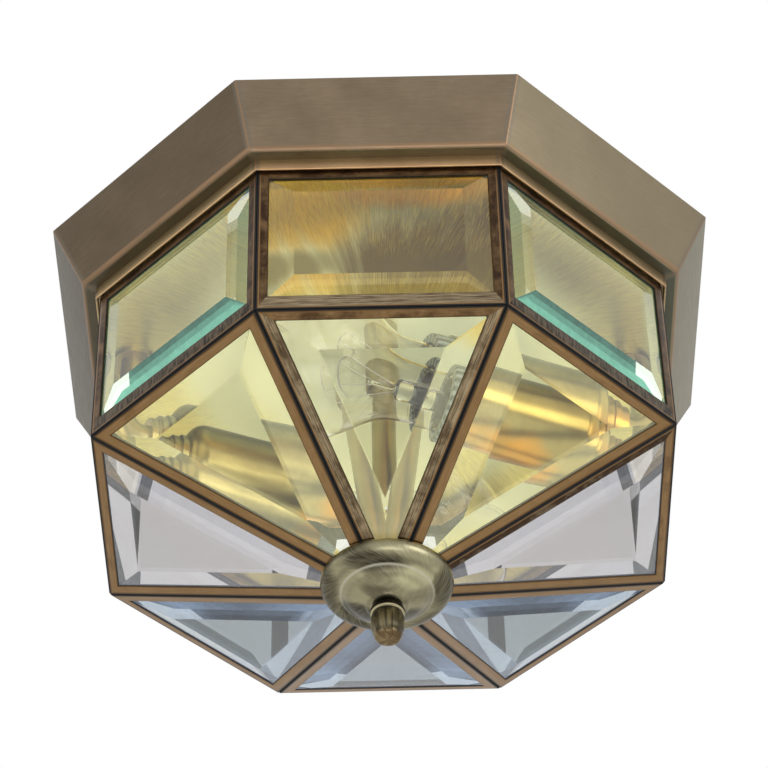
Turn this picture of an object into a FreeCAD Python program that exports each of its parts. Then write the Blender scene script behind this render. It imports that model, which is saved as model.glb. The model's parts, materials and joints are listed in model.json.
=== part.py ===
import FreeCAD, Part
import math
import os

from FreeCAD import Vector

os.makedirs("parts", exist_ok=True)

# Octagonal flush mount ceiling light: bevelled glass panes in brass came, hung under a folded canopy.
# Lengths are millimetres and angles degrees. Z = 0 is the ceiling and the light hangs towards -Z.
# The front faces -Y. Panels are numbered from the front one, anticlockwise as seen from above.
# The two sockets are the same assembly, turned half a turn about the stem.

# Whole light
panel_count = 8
rest_gap = 0.3           # between a piece that comes off and what it rests against
joint_gap = 0.05         # between neighbours that are soldered, clamped or glued
running_gap = 0.08       # round a thread or a shaft that turns in its hole
cut_overrun = 2.0        # how far a cutter runs past what it cuts

# Canopy: one folded sheet pan, wider at the ceiling than at its floor
canopy_width = 304.8
canopy_floor_width = 274.0
canopy_height = 30.8
canopy_sheet = 1.0
canopy_edge_round = 2.6

# Seat ring: a strip folded to a channel under the canopy floor, whose outer wall hides the cage's top
ring_setback = 5.6       # from the edge of the canopy floor
ring_sheet = 1.1
ring_drop = 6.2
shelf_drop = 4.3
shelf_width = 4.2

# Mounting crossbar, for the two screws of a ceiling box
bar_end = 5.35           # past each slot
bar_width = 22.0
bar_sheet = 1.8
bar_flange = 4.0
slot_spacing = 79.4
slot_length = 13.9
slot_width = 4.4

# Ground screw in the crossbar
ground_place = 24.0
ground_head_diameter = 9.0
ground_head_height = 2.8
ground_shank_diameter = 4.8
ground_slot_width = 1.1
ground_slot_depth = 1.2

# Stem: a threaded pipe from the crossbar to the finial, in a collar and a tube
pipe_diameter = 9.9
pipe_bore = 6.6
thread_pitch = 0.94
finial_turns = 11.0
collar_diameter = 15.1
collar_length = 16.4
collar_round = 1.2
tube_diameter = 11.2
tube_bore = 10.3

# Lock nuts on the pipe and the nipples
nut_flats = 14.3
nut_height = 3.2
nut_chamfer = 0.5

# Cage: an octagonal band of upright panels over a flat pyramid
cage_clearance = 0.95    # round the cage, inside the seat ring
cage_side_height = 88.9
pyramid_drop = 52.0
hub_clearance = 14.0     # from the pyramid's point to the panel tips, along the slope

# Came: brass channel round each pane
came_depth = 3.4
came_face = 5.4
belt_rail_face = 8.4
ridge_rail_face = 6.0
came_round = 0.9
came_inner_round = 0.45
came_round_steps = 3
came_lip_back = 0.6
groove_depth = 2.2
seam_gap = 0.1

# Panes: plate glass with a ground bevel on the outside
pane_thickness = 4.8
pane_edge = 1.4
side_bevel = 13.5
bottom_bevel = 14.5

# Hub at the pyramid's point
hub_boss_diameter = 20.0
hub_boss_height = 5.0
hub_hole_clearance = 0.35

# Finial cup, a turned dish; its outline is in shares of its radius and depth
cup_radius = 29.6
cup_depth = 14.7
cup_wall = 0.9
cup_band_shares = ((0.995, 0.0), (1.0, 0.11), (0.985, 0.24), (0.94, 0.37), (0.87, 0.46), (0.78, 0.48), (0.68, 0.42))
cup_dome_shares = ((0.66, 0.44), (0.65, 0.53), (0.6, 0.66), (0.51, 0.78), (0.41, 0.875), (0.335, 0.935), (0.3, 1.0))

# Finial knob, turned; its outline is in shares of its radius and length
knob_radius = 7.4
knob_length = 18.2
knob_neck_shares = ((0.88, 0.0), (0.88, 0.06))
knob_ring_shares = ((0.95, 0.075), (1.03, 0.11), (1.05, 0.155), (1.02, 0.195), (0.92, 0.215))
knob_body_shares = ((0.9, 0.26), (0.97, 0.31), (1.0, 0.42), (1.0, 0.58), (0.96, 0.71), (0.88, 0.8))
knob_tip_shares = ((0.86, 0.82), (0.83, 0.89), (0.74, 0.955), (0.62, 0.985), (0.4, 1.0), (0.0, 1.0))
knob_bore_spare = 3.0

# Socket axes: level, turned from the X axis, each beside the stem
socket_turn = 22.5
socket_offset = 40.0
socket_drop = 54.2       # below the canopy floor

# Socket body, moulded, with a fluted mouth that stands out of its cover
body_diameter = 37.0
body_length = 56.6
body_overhang = 9.6
body_bore = 29.2
body_bore_depth = 30.1
body_web = 4.0
body_back = 4.0
body_chamfer = 0.7
flute_count = 24
flute_radius = 1.1
flute_sink = 0.5

# Socket cover, a brass cup with a rounded shoulder and a ringed neck
cover_diameter = 39.0
cover_wall = 0.75
cover_length = 71.5
shoulder_round = 8.0
neck_ring_radius = 12.6
neck_ring_length = 3.0
neck_groove_radius = 10.4
neck_groove_length = 1.4
neck_bead_radius = 11.6
neck_bead_length = 2.6
neck_foot_radius = 9.8
neck_foot_length = 3.4

# Screw shell and centre contact of the socket
shell_crest = 28.3
shell_root = 27.0
shell_wall = 0.3
shell_length = 26.0
shell_inset = 1.6
tab_width = 6.0

# Medium screw base of the bulb
base_pitch = 3.629
bulb_turns = 8.0
base_thread_count = 5
base_crest = 26.4
base_root = 25.4
base_wall = 0.4
base_rim_inset = 0.3     # from the socket's face to the base's rim
base_rim_length = 1.6
base_cone_length = 3.6
base_cone_end_radius = 7.5
contact_depth = 2.0
contact_cone_length = 2.0
contact_button_radius = 4.6
contact_tip_radius = 3.0
contact_button_height = 1.2

# Bulb glass: a globe and a curved neck
globe_radius = 30.0
globe_reach = 48.9       # from the socket's face to the globe's centre
globe_open_angle = 38.0
neck_radius = 13.8
neck_reach = 2.6
neck_seat_radius = 11.9
neck_seat_length = 8.0
bulb_wall = 0.8
neck_pull_shares = (0.26, 0.3)

# Bulb mount: glass stem, leads, supports and filament
mount_flare_radius = 10.4
mount_flare_length = 6.0
mount_neck_radius = 4.8
mount_length = 22.0
mount_rod_radius = 1.1
mount_rod_length = 13.0
lead_wire_radius = 0.35
filament_radius = 0.45
filament_spread = 13.0
filament_reach = 37.0
filament_bow = 4.0
support_spread_shares = (-0.5, 0.5)

# Socket arm: a bent tube from the cover's neck up to the canopy floor
arm_diameter = 12.6
arm_bore = 10.1
arm_bend = 8.6
arm_inlet = 3.0
arm_setback = 29.1       # of its riser, from the edge of the canopy floor along the socket's axis
arm_flange_diameter = 19.6
arm_flange_height = 2.2
nipple_inset = 14.0
nipple_overhang = 5.0

# Leads and twist-on connectors in the canopy
lead_diameter = 2.2
lead_spacing = 2.7
lead_bend_share = 0.45
lead_bend = 6.6
lead_straight = 5.0      # of each lead outside its connector's mouth
low_lead_height = 12.4
middle_lead_height = 16.2
high_lead_height = 20.0
connector_mouth_diameter = 12.4
connector_tip_diameter = 7.6
connector_length = 22.0
connector_bore = 7.4
connector_bore_depth = 12.0
connector_spread = 46.0
connector_back = 42.0
ground_wire_diameter = 1.6
ground_run = 12.0

# Heights and reaches that follow
panel_turn = 360.0 / panel_count
half_turn = panel_turn / 2
bar_length = slot_spacing + slot_length + 2 * bar_end
ring_width = canopy_floor_width - 2 * ring_setback
cage_width = ring_width - 2 * (ring_sheet + cage_clearance)
cage_apothem = cage_width / 2
canopy_floor = -canopy_height
canopy_inside_floor = canopy_floor + canopy_sheet
shelf_under = canopy_floor - shelf_drop
cage_top = shelf_under - rest_gap
belt_height = cage_top - cage_side_height
point_height = belt_height - pyramid_drop
pyramid_slope = math.degrees(math.atan2(pyramid_drop, cage_apothem))
ridge_rise = pyramid_drop * math.cos(math.radians(half_turn)) / cage_apothem
belt_mitre = math.tan(math.radians((90.0 - pyramid_slope) / 2))
seam_mitre = math.tan(math.radians(half_turn))
pane_back = came_lip_back - came_depth
pipe_radius = pipe_diameter / 2
thread_hole_radius = pipe_radius + running_gap
socket_height = canopy_floor - socket_drop
neck_length = neck_ring_length + neck_bead_length + 2 * neck_groove_length + neck_foot_length
arm_rise = canopy_floor_width / 2 - arm_setback
arm_start = arm_rise - arm_inlet - arm_bend
cover_end = arm_start - neck_length
cover_mouth = cover_end - cover_length
socket_face = cover_mouth - body_overhang
cup_top = point_height + ridge_rise * cup_radius - rest_gap
cup_bottom = cup_top - cup_depth
knob_top = cup_bottom - rest_gap
pipe_bottom = knob_top - finial_turns * thread_pitch
tip_drop = hub_clearance * math.sin(math.radians(pyramid_slope))
hub_bottom = point_height + tip_drop
hub_plug_top = hub_bottom + came_depth * math.cos(math.radians(pyramid_slope))
hub_top = hub_plug_top + hub_boss_height

up = Vector(0, 0, 1)
origin = Vector(0, 0, 0)
written = []


def save(name, shape):
    """Writes one node, after checking that each of its solids is sound."""
    solids = shape.Solids
    for solid in solids:
        if not solid.isValid() or solid.Volume <= 0:
            raise ValueError(name + " has a bad solid")
    shape.exportStep("parts/" + name + ".step")
    written.append(name)
    print(name, len(solids), "solids,", round(shape.Volume / 1000, 3), "cm3")


def turned_about_stem(shape, degrees):
    """A copy of the shape, turned about the stem."""
    copy = shape.copy()
    copy.rotate(origin, up, degrees)
    return copy


def octagon(width, height):
    """Corners of an octagon of this width across its flats."""
    radius = width / 2 / math.cos(math.radians(half_turn))
    turns = [math.radians(half_turn + panel_turn * k) for k in range(panel_count)]
    return [Vector(radius * math.cos(t), radius * math.sin(t), height) for t in turns]


def rings_solid(rings):
    """A flat-sided solid through rings of as many points each, closed by the first and last ring."""
    faces = []
    count = len(rings[0])
    for lower, upper in zip(rings, rings[1:]):
        for i in range(count):
            j = (i + 1) % count
            corners = [lower[i], lower[j], upper[j], upper[i], lower[i]]
            faces.append(Part.Face(Part.makePolygon(corners)))
    for ring in (rings[0], rings[-1]):
        faces.append(Part.Face(Part.makePolygon(ring + ring[:1])))
    solid = Part.Solid(Part.Shell(faces))
    if solid.Volume < 0:
        solid.reverse()
    return solid


def prism(width, low, high):
    """An upright octagonal prism."""
    return rings_solid([octagon(width, low), octagon(width, high)])


def rod(radius, start, end):
    """A round bar from one point to another."""
    way = end - start
    return Part.makeCylinder(radius, way.Length, start, way)


def pipe(outer_radius, inner_radius, start, end):
    """A round tube from one point to another."""
    way = (end - start).normalize() * cut_overrun
    return rod(outer_radius, start, end).cut(rod(inner_radius, start - way, end + way))


def lathe(edges):
    """A turned solid from the edges of its closed half section in the XZ plane."""
    return Part.Face(Part.Wire(Part.__sortEdges__(edges))).revolve(origin, up, 360)


def chain(points):
    """Straight edges through (radius, height) points of a half section."""
    places = [Vector(r, 0, z) for r, z in points]
    return [Part.LineSegment(a, b).toShape() for a, b in zip(places, places[1:]) if (b - a).Length > 0]


def smooth(points):
    """One smooth edge through (radius, height) points of a half section."""
    curve = Part.BSplineCurve()
    curve.interpolate([Vector(r, 0, z) for r, z in points])
    return curve.toShape()


def arc(start, middle, end):
    """A circular edge through three (radius, height) points of a half section."""
    return Part.Arc(*[Vector(r, 0, z) for r, z in (start, middle, end)]).toShape()


def inset(points, distances):
    """A convex outline moved inwards, each side by its own distance. Points run anticlockwise."""
    lines = []
    for (x0, y0), (x1, y1), distance in zip(points, points[1:] + points[:1], distances):
        length = math.hypot(x1 - x0, y1 - y0)
        along = ((x1 - x0) / length, (y1 - y0) / length)
        inward = (-along[1], along[0])
        lines.append((inward, inward[0] * x0 + inward[1] * y0 + distance))
    moved = []
    for (a, p), (b, q) in zip(lines[-1:] + lines[:-1], lines):
        cross = a[0] * b[1] - a[1] * b[0]
        moved.append(((p * b[1] - q * a[1]) / cross, (a[0] * q - b[0] * p) / cross))
    return moved


def side_point(u, v, w):
    """A point of the upright panel that faces +X: u across, v up, w outwards."""
    return Vector(cage_apothem + w, u, v)


def bottom_point(u, v, w):
    """A point of the sloping panel under it: v runs from the pyramid's point to the belt."""
    slope = math.radians(pyramid_slope)
    along = v * math.cos(slope) + w * math.sin(slope)
    return Vector(along, u, point_height + v * math.sin(slope) - w * math.cos(slope))


def panel_solid(place, rings):
    """A flat-sided solid from (outline, w) pairs in a panel's own directions."""
    return rings_solid([[place(u, v, w) for u, v in outline] for outline, w in rings])


def side_outline():
    """Outer outline of an upright panel: belt, seam, top, seam."""
    half = cage_apothem * math.tan(math.radians(half_turn))
    return [(-half, belt_height), (half, belt_height), (half, cage_top), (-half, cage_top)]


def bottom_outline(tip):
    """Outer outline of a sloping panel: tip, ridge, belt, ridge. A tip of zero gives the whole triangle."""
    length = math.hypot(cage_apothem, pyramid_drop)
    share = cage_apothem * math.tan(math.radians(half_turn)) / length
    return [(-tip * share, tip), (tip * share, tip), (length * share, length), (-length * share, length)]


def came_frame(place, outline, mitres, faces):
    """Mitred came round one panel: each side leans inwards by its mitre, and its face has its own width.

    The outer and inner edges of its face are rounded in flat steps.
    """
    gap = seam_gap / 2
    body = [(inset(outline, [gap + came_depth * mitre for mitre in mitres]), -came_depth)]
    opening = [(inset(outline, faces), -came_depth - cut_overrun)]
    for step in range(came_round_steps + 1):
        turn = math.radians(90 * step / came_round_steps)
        fall, draw = 1 - math.sin(turn), 1 - math.cos(turn)
        sides = [gap + came_round * (draw + fall * mitre) for mitre in mitres]
        body.append((inset(outline, sides), -came_round * fall))
        lips = [face - came_inner_round * draw for face in faces]
        opening.append((inset(outline, lips), -came_inner_round * fall))
    opening.append((opening[-1][0], cut_overrun))
    return panel_solid(place, body).cut(panel_solid(place, opening))


def pane_solid(place, outline, faces, bevel, spare):
    """A bevelled pane that reaches into the came's groove. Spare makes the groove's cutter larger."""
    reach = [face - groove_depth - spare for face in faces]
    edge = inset(outline, reach)
    field = inset(outline, [distance + spare + bevel for distance in reach])
    rings = [
        (edge, pane_back - spare),
        (edge, pane_back + pane_edge + spare),
        (field, pane_back + pane_thickness + spare),
    ]
    return panel_solid(place, rings)


def tip_cutter(spare):
    """A block that takes away the pointed end of a sloping pane."""
    end = hub_clearance + came_face - groove_depth - spare
    half = hub_clearance
    outline = [(-half, -cut_overrun), (half, -cut_overrun), (half, end), (-half, end)]
    return panel_solid(bottom_point, [(outline, -came_depth - pane_thickness), (outline, pane_thickness)])


def triangular_pane(spare):
    """The sloping pane, whose three bevels meet in mitres and whose point is cut off at the hub."""
    belt, ridge = came_face, ridge_rail_face
    triangle = [bottom_outline(0)[0], bottom_outline(0)[2], bottom_outline(0)[3]]
    return pane_solid(bottom_point, triangle, [ridge, belt, ridge], bottom_bevel, spare).cut(tip_cutter(spare))


def make_panels():
    """Eight upright and eight sloping panels, each a pane in its own came."""
    side_faces = [belt_rail_face, came_face, came_face, came_face]
    side_came = came_frame(side_point, side_outline(), [belt_mitre, seam_mitre, 0, seam_mitre], side_faces)
    side_pane = pane_solid(side_point, side_outline(), side_faces, side_bevel, 0)
    side_came = side_came.cut(pane_solid(side_point, side_outline(), side_faces, side_bevel, joint_gap))

    slope = math.radians(pyramid_slope)
    turn = math.radians(panel_turn)
    between = math.acos(math.sin(slope) ** 2 * math.cos(turn) + math.cos(slope) ** 2)
    ridge_mitre = math.tan(between / 2)
    bottom_faces = [came_face, ridge_rail_face, came_face, ridge_rail_face]
    bottom_mitres = [0, ridge_mitre, belt_mitre, ridge_mitre]
    bottom_came = came_frame(bottom_point, bottom_outline(hub_clearance), bottom_mitres, bottom_faces)
    bottom_came = bottom_came.cut(triangular_pane(joint_gap))
    bottom_pane = triangular_pane(0)

    shapes = {"side_came": side_came, "side_pane": side_pane, "bottom_came": bottom_came, "bottom_pane": bottom_pane}
    for name, shape in shapes.items():
        for k in range(panel_count):
            save(name + "_" + str(k + 1), turned_about_stem(shape, panel_turn * k - 90))


def make_canopy():
    """The canopy pan, open to the ceiling, with holes for the stem and the two socket arms."""
    lean = (canopy_width - canopy_floor_width) / 2 / canopy_height
    across = canopy_sheet * math.sqrt(1 + lean * lean)

    def inside_width(height):
        return canopy_width + 2 * (height * lean - across)

    outside = rings_solid([octagon(canopy_floor_width, canopy_floor), octagon(canopy_width, 0)])
    edges = [e for e in outside.Edges if e.CenterOfMass.z < 0]
    outside = outside.makeFillet(canopy_edge_round, edges)
    low, high = canopy_inside_floor, cut_overrun
    inside = rings_solid([octagon(inside_width(low), low), octagon(inside_width(high), high)])
    edges = [e for e in inside.Edges if e.CenterOfMass.z < high]
    inside = inside.makeFillet(canopy_edge_round - canopy_sheet, edges)
    pan = outside.cut(inside)
    deep = Vector(0, 0, canopy_floor - cut_overrun)
    pan = pan.cut(rod(pipe_radius + joint_gap, deep, Vector(0, 0, 0)))
    for side in (0, 1):
        base = socket_place(arm_rise, 0, deep.z, side)
        pan = pan.cut(rod(pipe_radius + joint_gap, base, Vector(base.x, base.y, 0)))
    save("canopy_shell", pan)


def make_seat_ring():
    """The folded channel under the canopy floor. The cage rises inside its outer wall to its shelf."""
    low = canopy_floor - ring_drop
    inner_width = ring_width - 2 * ring_sheet
    shelf_inside = inner_width - 2 * shelf_width
    ring = prism(ring_width, low, canopy_floor)
    ring = ring.cut(prism(inner_width, low - cut_overrun, shelf_under))
    ring = ring.cut(prism(shelf_inside, low - cut_overrun, canopy_floor + cut_overrun))
    hollow = prism(inner_width, shelf_under + ring_sheet, canopy_floor + cut_overrun)
    hollow = hollow.cut(prism(shelf_inside + 2 * ring_sheet, low, canopy_floor + 2 * cut_overrun))
    save("seat_ring", ring.cut(hollow))


def box(low, high):
    """A block between two corners."""
    size = high - low
    return Part.makeBox(size.x, size.y, size.z, low)


def make_crossbar():
    """The crossbar, a shallow channel with a slot at each end, and its ground screw."""
    half_length, half_width = bar_length / 2, bar_width / 2
    depth = bar_sheet + bar_flange
    bar = box(Vector(-half_length, -half_width, -depth), Vector(half_length, half_width, 0))
    low = Vector(-half_length - cut_overrun, bar_sheet - half_width, -depth - cut_overrun)
    bar = bar.cut(box(low, Vector(half_length + cut_overrun, half_width - bar_sheet, -bar_sheet)))
    deep, high = -depth - cut_overrun, cut_overrun
    radius = slot_width / 2
    for sign in (-1, 1):
        ends = [sign * slot_spacing / 2 + step * (slot_length / 2 - radius) for step in (-1, 1)]
        for x in ends:
            bar = bar.cut(rod(radius, Vector(x, 0, deep), Vector(x, 0, high)))
        bar = bar.cut(box(Vector(ends[0], -radius, deep), Vector(ends[1], radius, high)))
    bar = bar.cut(rod(pipe_radius + joint_gap, Vector(0, 0, deep), Vector(0, 0, high)))
    shank = ground_shank_diameter / 2
    bar = bar.cut(rod(shank + joint_gap, Vector(-ground_place, 0, deep), Vector(-ground_place, 0, high)))
    save("mounting_crossbar", bar)

    under = Vector(-ground_place, 0, -bar_sheet)
    head_end = under - up * ground_head_height
    screw = rod(ground_head_diameter / 2, head_end, under).fuse(rod(shank, under, under + up * bar_sheet))
    half = ground_slot_width / 2
    reach = ground_head_diameter / 2 + cut_overrun
    low = head_end + Vector(-reach, -half, -cut_overrun)
    slot = box(low, head_end + Vector(reach, half, ground_slot_depth))
    save("ground_screw", screw.removeSplitter().cut(slot))


def hex_nut(base, way):
    """A hexagonal nut on the pipe thread, from its base along a direction."""
    corner = nut_flats / 2 / math.cos(math.radians(30))
    points = [Vector(corner * math.cos(math.radians(60 * k)), corner * math.sin(math.radians(60 * k)), 0) for k in range(7)]
    block = Part.Face(Part.makePolygon(points)).extrude(Vector(0, 0, nut_height))
    round_points = [
        (0, 0),
        (corner - nut_chamfer, 0),
        (corner, nut_chamfer),
        (corner, nut_height - nut_chamfer),
        (corner - nut_chamfer, nut_height),
        (0, nut_height),
        (0, 0),
    ]
    nut = block.common(lathe(chain(round_points)))
    nut = nut.cut(rod(thread_hole_radius, Vector(0, 0, -cut_overrun), Vector(0, 0, nut_height + cut_overrun)))
    nut.Placement = FreeCAD.Placement(base, FreeCAD.Rotation(up, way))
    return nut


def make_stem():
    """The threaded pipe, its collar and its tube, and every lock nut of the light."""
    save("stem_rod", pipe(pipe_radius, pipe_bore / 2, Vector(0, 0, pipe_bottom), origin))

    collar_bottom = canopy_floor - collar_length
    collar = pipe(collar_diameter / 2, thread_hole_radius, Vector(0, 0, collar_bottom), Vector(0, 0, canopy_floor))
    rim = [e for e in collar.Edges if e.Length > math.pi * tube_diameter and e.CenterOfMass.z < canopy_floor]
    rim = [e for e in rim if abs(e.BoundBox.ZLength) < joint_gap]
    save("stem_collar", collar.makeFillet(collar_round, rim))

    tube = pipe(tube_diameter / 2, tube_bore / 2, Vector(0, 0, hub_top + rest_gap), Vector(0, 0, collar_bottom))
    save("stem_tube", tube)

    nuts = [hex_nut(Vector(0, 0, -bar_sheet), -up), hex_nut(Vector(0, 0, canopy_inside_floor), up)]
    for side in (0, 1):
        nuts.append(hex_nut(socket_place(arm_rise, 0, canopy_inside_floor, side), up))
    save("lock_nuts", Part.makeCompound(nuts))


def socket_place(along, across, height, side):
    """A point by its distance along a socket's axis, its distance beside it and its height."""
    turn = math.radians(socket_turn)
    way = Vector(math.cos(turn), math.sin(turn), 0)
    beside = Vector(math.sin(turn), -math.cos(turn), 0)
    point = way * along + beside * (socket_offset + across) + up * height
    return point if side == 0 else Vector(-point.x, -point.y, point.z)


def on_socket_axis(shape, side):
    """Moves a shape that was turned about Z on to a socket's axis, its height becoming the distance along it."""
    copy = shape.copy()
    copy.rotate(origin, Vector(0, 1, 0), 90)
    copy.rotate(origin, up, socket_turn)
    copy.translate(socket_place(0, 0, socket_height, 0))
    return copy if side == 0 else turned_about_stem(copy, 180)


def save_socket_pair(name, shape):
    """The right-hand and the left-hand copy of a socket's piece, as two nodes."""
    save("right_" + name, on_socket_axis(shape, 0))
    save("left_" + name, on_socket_axis(shape, 1))


def socket_body():
    """The moulded body: a fluted mouth, a bore for the screw shell and a chamber behind its web."""
    outer, bore, hole = body_diameter / 2, body_bore / 2, pipe_radius + joint_gap
    face, back = socket_face, socket_face + body_length
    web = face + body_bore_depth
    points = [
        (0, web),
        (bore, web),
        (bore, face),
        (outer - body_chamfer, face),
        (outer, face + body_chamfer),
        (outer, back),
        (hole, back),
        (hole, back - body_back),
        (bore, back - body_back),
        (bore, web + body_web),
        (0, web + body_web),
        (0, web),
    ]
    body = lathe(chain(points))
    centre = outer + flute_radius - flute_sink
    for k in range(flute_count):
        turn = math.radians(360 / flute_count * k)
        x, y = centre * math.cos(turn), centre * math.sin(turn)
        body = body.cut(rod(flute_radius, Vector(x, y, face - cut_overrun), Vector(x, y, cover_mouth - joint_gap)))
    return body


def socket_cover():
    """The brass cover: a straight cup, a rounded shoulder, then a ring, a bead and a foot on its neck."""
    outer, inner = cover_diameter / 2, cover_diameter / 2 - cover_wall
    centre, start = outer - shoulder_round, cover_end - shoulder_round
    slant = math.sin(math.radians(45))
    hole = pipe_radius + joint_gap
    heights = [cover_end]
    for length in (neck_ring_length, neck_groove_length, neck_bead_length, neck_groove_length, neck_foot_length):
        heights.append(heights[-1] + length)
    radii = (neck_ring_radius, neck_groove_radius, neck_bead_radius, neck_groove_radius, neck_foot_radius)
    neck = [(centre, cover_end)]
    for radius, low, high in zip(radii, heights, heights[1:]):
        neck += [(radius, low), (radius, high)]
    reach = shoulder_round - cover_wall
    neck += [(hole, heights[-1]), (hole, start + reach), (centre, start + reach)]
    outside = arc(
        (outer, start),
        (centre + shoulder_round * slant, start + shoulder_round * slant),
        (centre, cover_end),
    )
    inside = arc((inner, start), (centre + reach * slant, start + reach * slant), (centre, start + reach))
    wall = chain([(inner, start), (inner, cover_mouth), (outer, cover_mouth), (outer, start)])
    return lathe(wall + [outside, inside] + chain(neck))


def wave(crest, root, start, pitch, count):
    """Points of a rolled thread's outline: crest and root radii in turn, from start along the axis."""
    points = [(crest, start)]
    for k in range(count):
        points.append((root, start + (k + 0.5) * pitch))
        points.append((crest, start + (k + 1) * pitch))
    return points


def base_cone_end():
    """Distance along the socket's axis to the small end of the bulb base's cone."""
    return socket_face + base_rim_inset + base_rim_length + base_thread_count * base_pitch + base_cone_length


def contact_tip():
    """Distance along the socket's axis to the bulb's contact button."""
    return base_cone_end() + contact_cone_length + contact_button_height


def screw_shell():
    """The socket's rolled screw shell, and its centre contact, which stands on the web up to the bulb's button."""
    start = socket_face + shell_inset
    count = int(shell_length // base_pitch)
    inner = wave(shell_crest / 2, shell_root / 2, start, base_pitch, count)
    outer = [(r + shell_wall, z) for r, z in inner]
    ends = [chain([inner[0], outer[0]]), chain([inner[-1], outer[-1]])]
    shell = lathe([smooth(inner), smooth(outer)] + ends[0] + ends[1])
    web = socket_face + body_bore_depth
    tab = rod(tab_width / 2, Vector(0, 0, contact_tip() + rest_gap), Vector(0, 0, web))
    return [shell, tab]


def bulb_base():
    """The bulb's screw base: a rim, a rolled thread and a cone that ends round the insulator."""
    rim = socket_face + base_rim_inset
    start = rim + base_rim_length
    outer = wave(base_crest / 2, base_root / 2, start, base_pitch, base_thread_count)
    end = outer[-1][1]
    inner = base_root / 2 - base_wall
    cone_end = base_cone_end()
    points = [
        outer[-1],
        (base_cone_end_radius + running_gap + base_wall, cone_end),
        (base_cone_end_radius + running_gap, cone_end),
        (base_cone_end_radius + running_gap, cone_end - base_wall),
        (inner, end),
        (inner, rim),
        (base_crest / 2, rim),
        (base_crest / 2, start),
    ]
    return lathe([smooth(outer)] + chain(points))


def bulb_contact():
    """The insulator in the base's cone with the contact button on it."""
    cone_end = base_cone_end()
    shoulder = cone_end + contact_cone_length
    points = [
        (0, cone_end - contact_depth),
        (base_cone_end_radius - running_gap, cone_end - contact_depth),
        (base_cone_end_radius, cone_end - base_wall),
        (base_cone_end_radius, cone_end),
        (contact_button_radius, shoulder),
        (contact_tip_radius, contact_tip()),
        (0, contact_tip()),
        (0, cone_end - contact_depth),
    ]
    return lathe(chain(points))


def bulb_envelope(wall):
    """The bulb's outline, moved inwards by a wall: a globe, a curved neck and the part that sits in the base."""
    centre = socket_face - globe_reach
    radius = globe_radius - wall
    angle = math.radians(globe_open_angle)
    join = (radius * math.cos(angle), centre + radius * math.sin(angle))
    tip = (0, centre - radius)
    pull = [share * globe_reach for share in neck_pull_shares]
    neck_place = socket_face - neck_reach
    neck = (neck_radius - wall, neck_place)
    seat = neck_seat_radius - wall
    step = neck_place + neck_reach + base_rim_inset
    end = socket_face + neck_seat_length + (cut_overrun if wall else 0)
    poles = [
        Vector(join[0], 0, join[1]),
        Vector(join[0] - pull[0] * math.sin(angle), 0, join[1] + pull[0] * math.cos(angle)),
        Vector(neck[0], 0, neck[1] - pull[1]),
        Vector(neck[0], 0, neck[1]),
    ]
    curve = Part.BezierCurve()
    curve.setPoles(poles)
    globe = arc(tip, (radius, centre), join)
    rest = chain([neck, (seat, step), (seat, end), (0, end), tip])
    return lathe([globe, curve.toShape()] + rest)


def bulb_mount():
    """What the bulb holds: a glass stem with its rod, two leads, two supports and the filament."""
    foot = socket_face + neck_seat_length
    waist = foot - mount_flare_length
    top = foot - mount_length
    rod_end = top - mount_rod_length
    flare = [
        (0, foot),
        (mount_flare_radius, foot),
        (mount_neck_radius, waist),
        (mount_neck_radius, top),
        (mount_rod_radius, top - mount_rod_radius),
        (mount_rod_radius, rod_end),
        (0, rod_end),
        (0, foot),
    ]
    height = socket_face - filament_reach
    bowed = height - filament_bow
    clear = Vector(0, 0, filament_radius + lead_wire_radius + joint_gap)
    ends = [Vector(sign * filament_spread, 0, height) for sign in (-1, 1)]
    feet = [Vector(sign * mount_neck_radius / 2, 0, top - mount_rod_radius - joint_gap) for sign in (-1, 1)]
    holds = [Vector(share * filament_spread, 0, bowed) for share in support_spread_shares]
    pieces = [lathe(chain(flare))]
    pieces += [rod(lead_wire_radius, foot_point, end + clear) for foot_point, end in zip(feet, ends)]
    path = [ends[0], holds[0], holds[1], ends[1]]
    pieces.append(rounded_tube(path, filament_radius, filament_bow, lead_bend_share))
    beside_rod = mount_rod_radius + 2 * lead_wire_radius + joint_gap
    for hold in holds:
        sideways = Vector(math.copysign(beside_rod, hold.x), 0, rod_end + mount_rod_radius)
        pieces.append(rod(lead_wire_radius, sideways, hold + clear))
    return Part.makeCompound(pieces)


def rounded_tube(points, radius, bend, share):
    """A round bar along straight runs joined by tangent arcs, none larger than its runs allow."""
    edges = []
    start = points[0]
    for before, corner, after in zip(points, points[1:], points[2:]):
        back, forth = before - corner, after - corner
        half = (math.pi - back.getAngle(forth)) / 2
        size = min(bend, share * min(back.Length, forth.Length) / math.tan(half))
        reach = size * math.tan(half)
        back.normalize()
        forth.normalize()
        first, last = corner + back * reach, corner + forth * reach
        middle_way = (back + forth).normalize()
        middle = corner + middle_way * (size / math.cos(half) - size)
        edges.append(Part.LineSegment(start, first).toShape())
        edges.append(Part.Arc(first, middle, last).toShape())
        start = last
    edges.append(Part.LineSegment(start, points[-1]).toShape())
    section = Part.Wire(Part.Circle(points[0], points[1] - points[0], radius).toShape())
    return Part.Wire(edges).makePipeShell([section], True, False)


def socket_arm(side):
    """The bent tube that carries a socket, with a round flange against the canopy floor."""
    floor_point = socket_place(arm_rise, 0, canopy_floor, side)
    path = [
        socket_place(arm_start, 0, socket_height, side),
        socket_place(arm_rise, 0, socket_height, side),
        floor_point,
    ]
    outside = rounded_tube(path, arm_diameter / 2, arm_bend, 1)
    flange = rod(arm_flange_diameter / 2, floor_point - up * arm_flange_height, floor_point)
    inside = rounded_tube(path, arm_bore / 2, arm_bend, 1)
    arm = outside.fuse(flange).removeSplitter()
    arm = arm.cut(inside)
    return arm.cut(rod(arm_bore / 2, floor_point - up * arm_flange_height, floor_point + up * cut_overrun))


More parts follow.
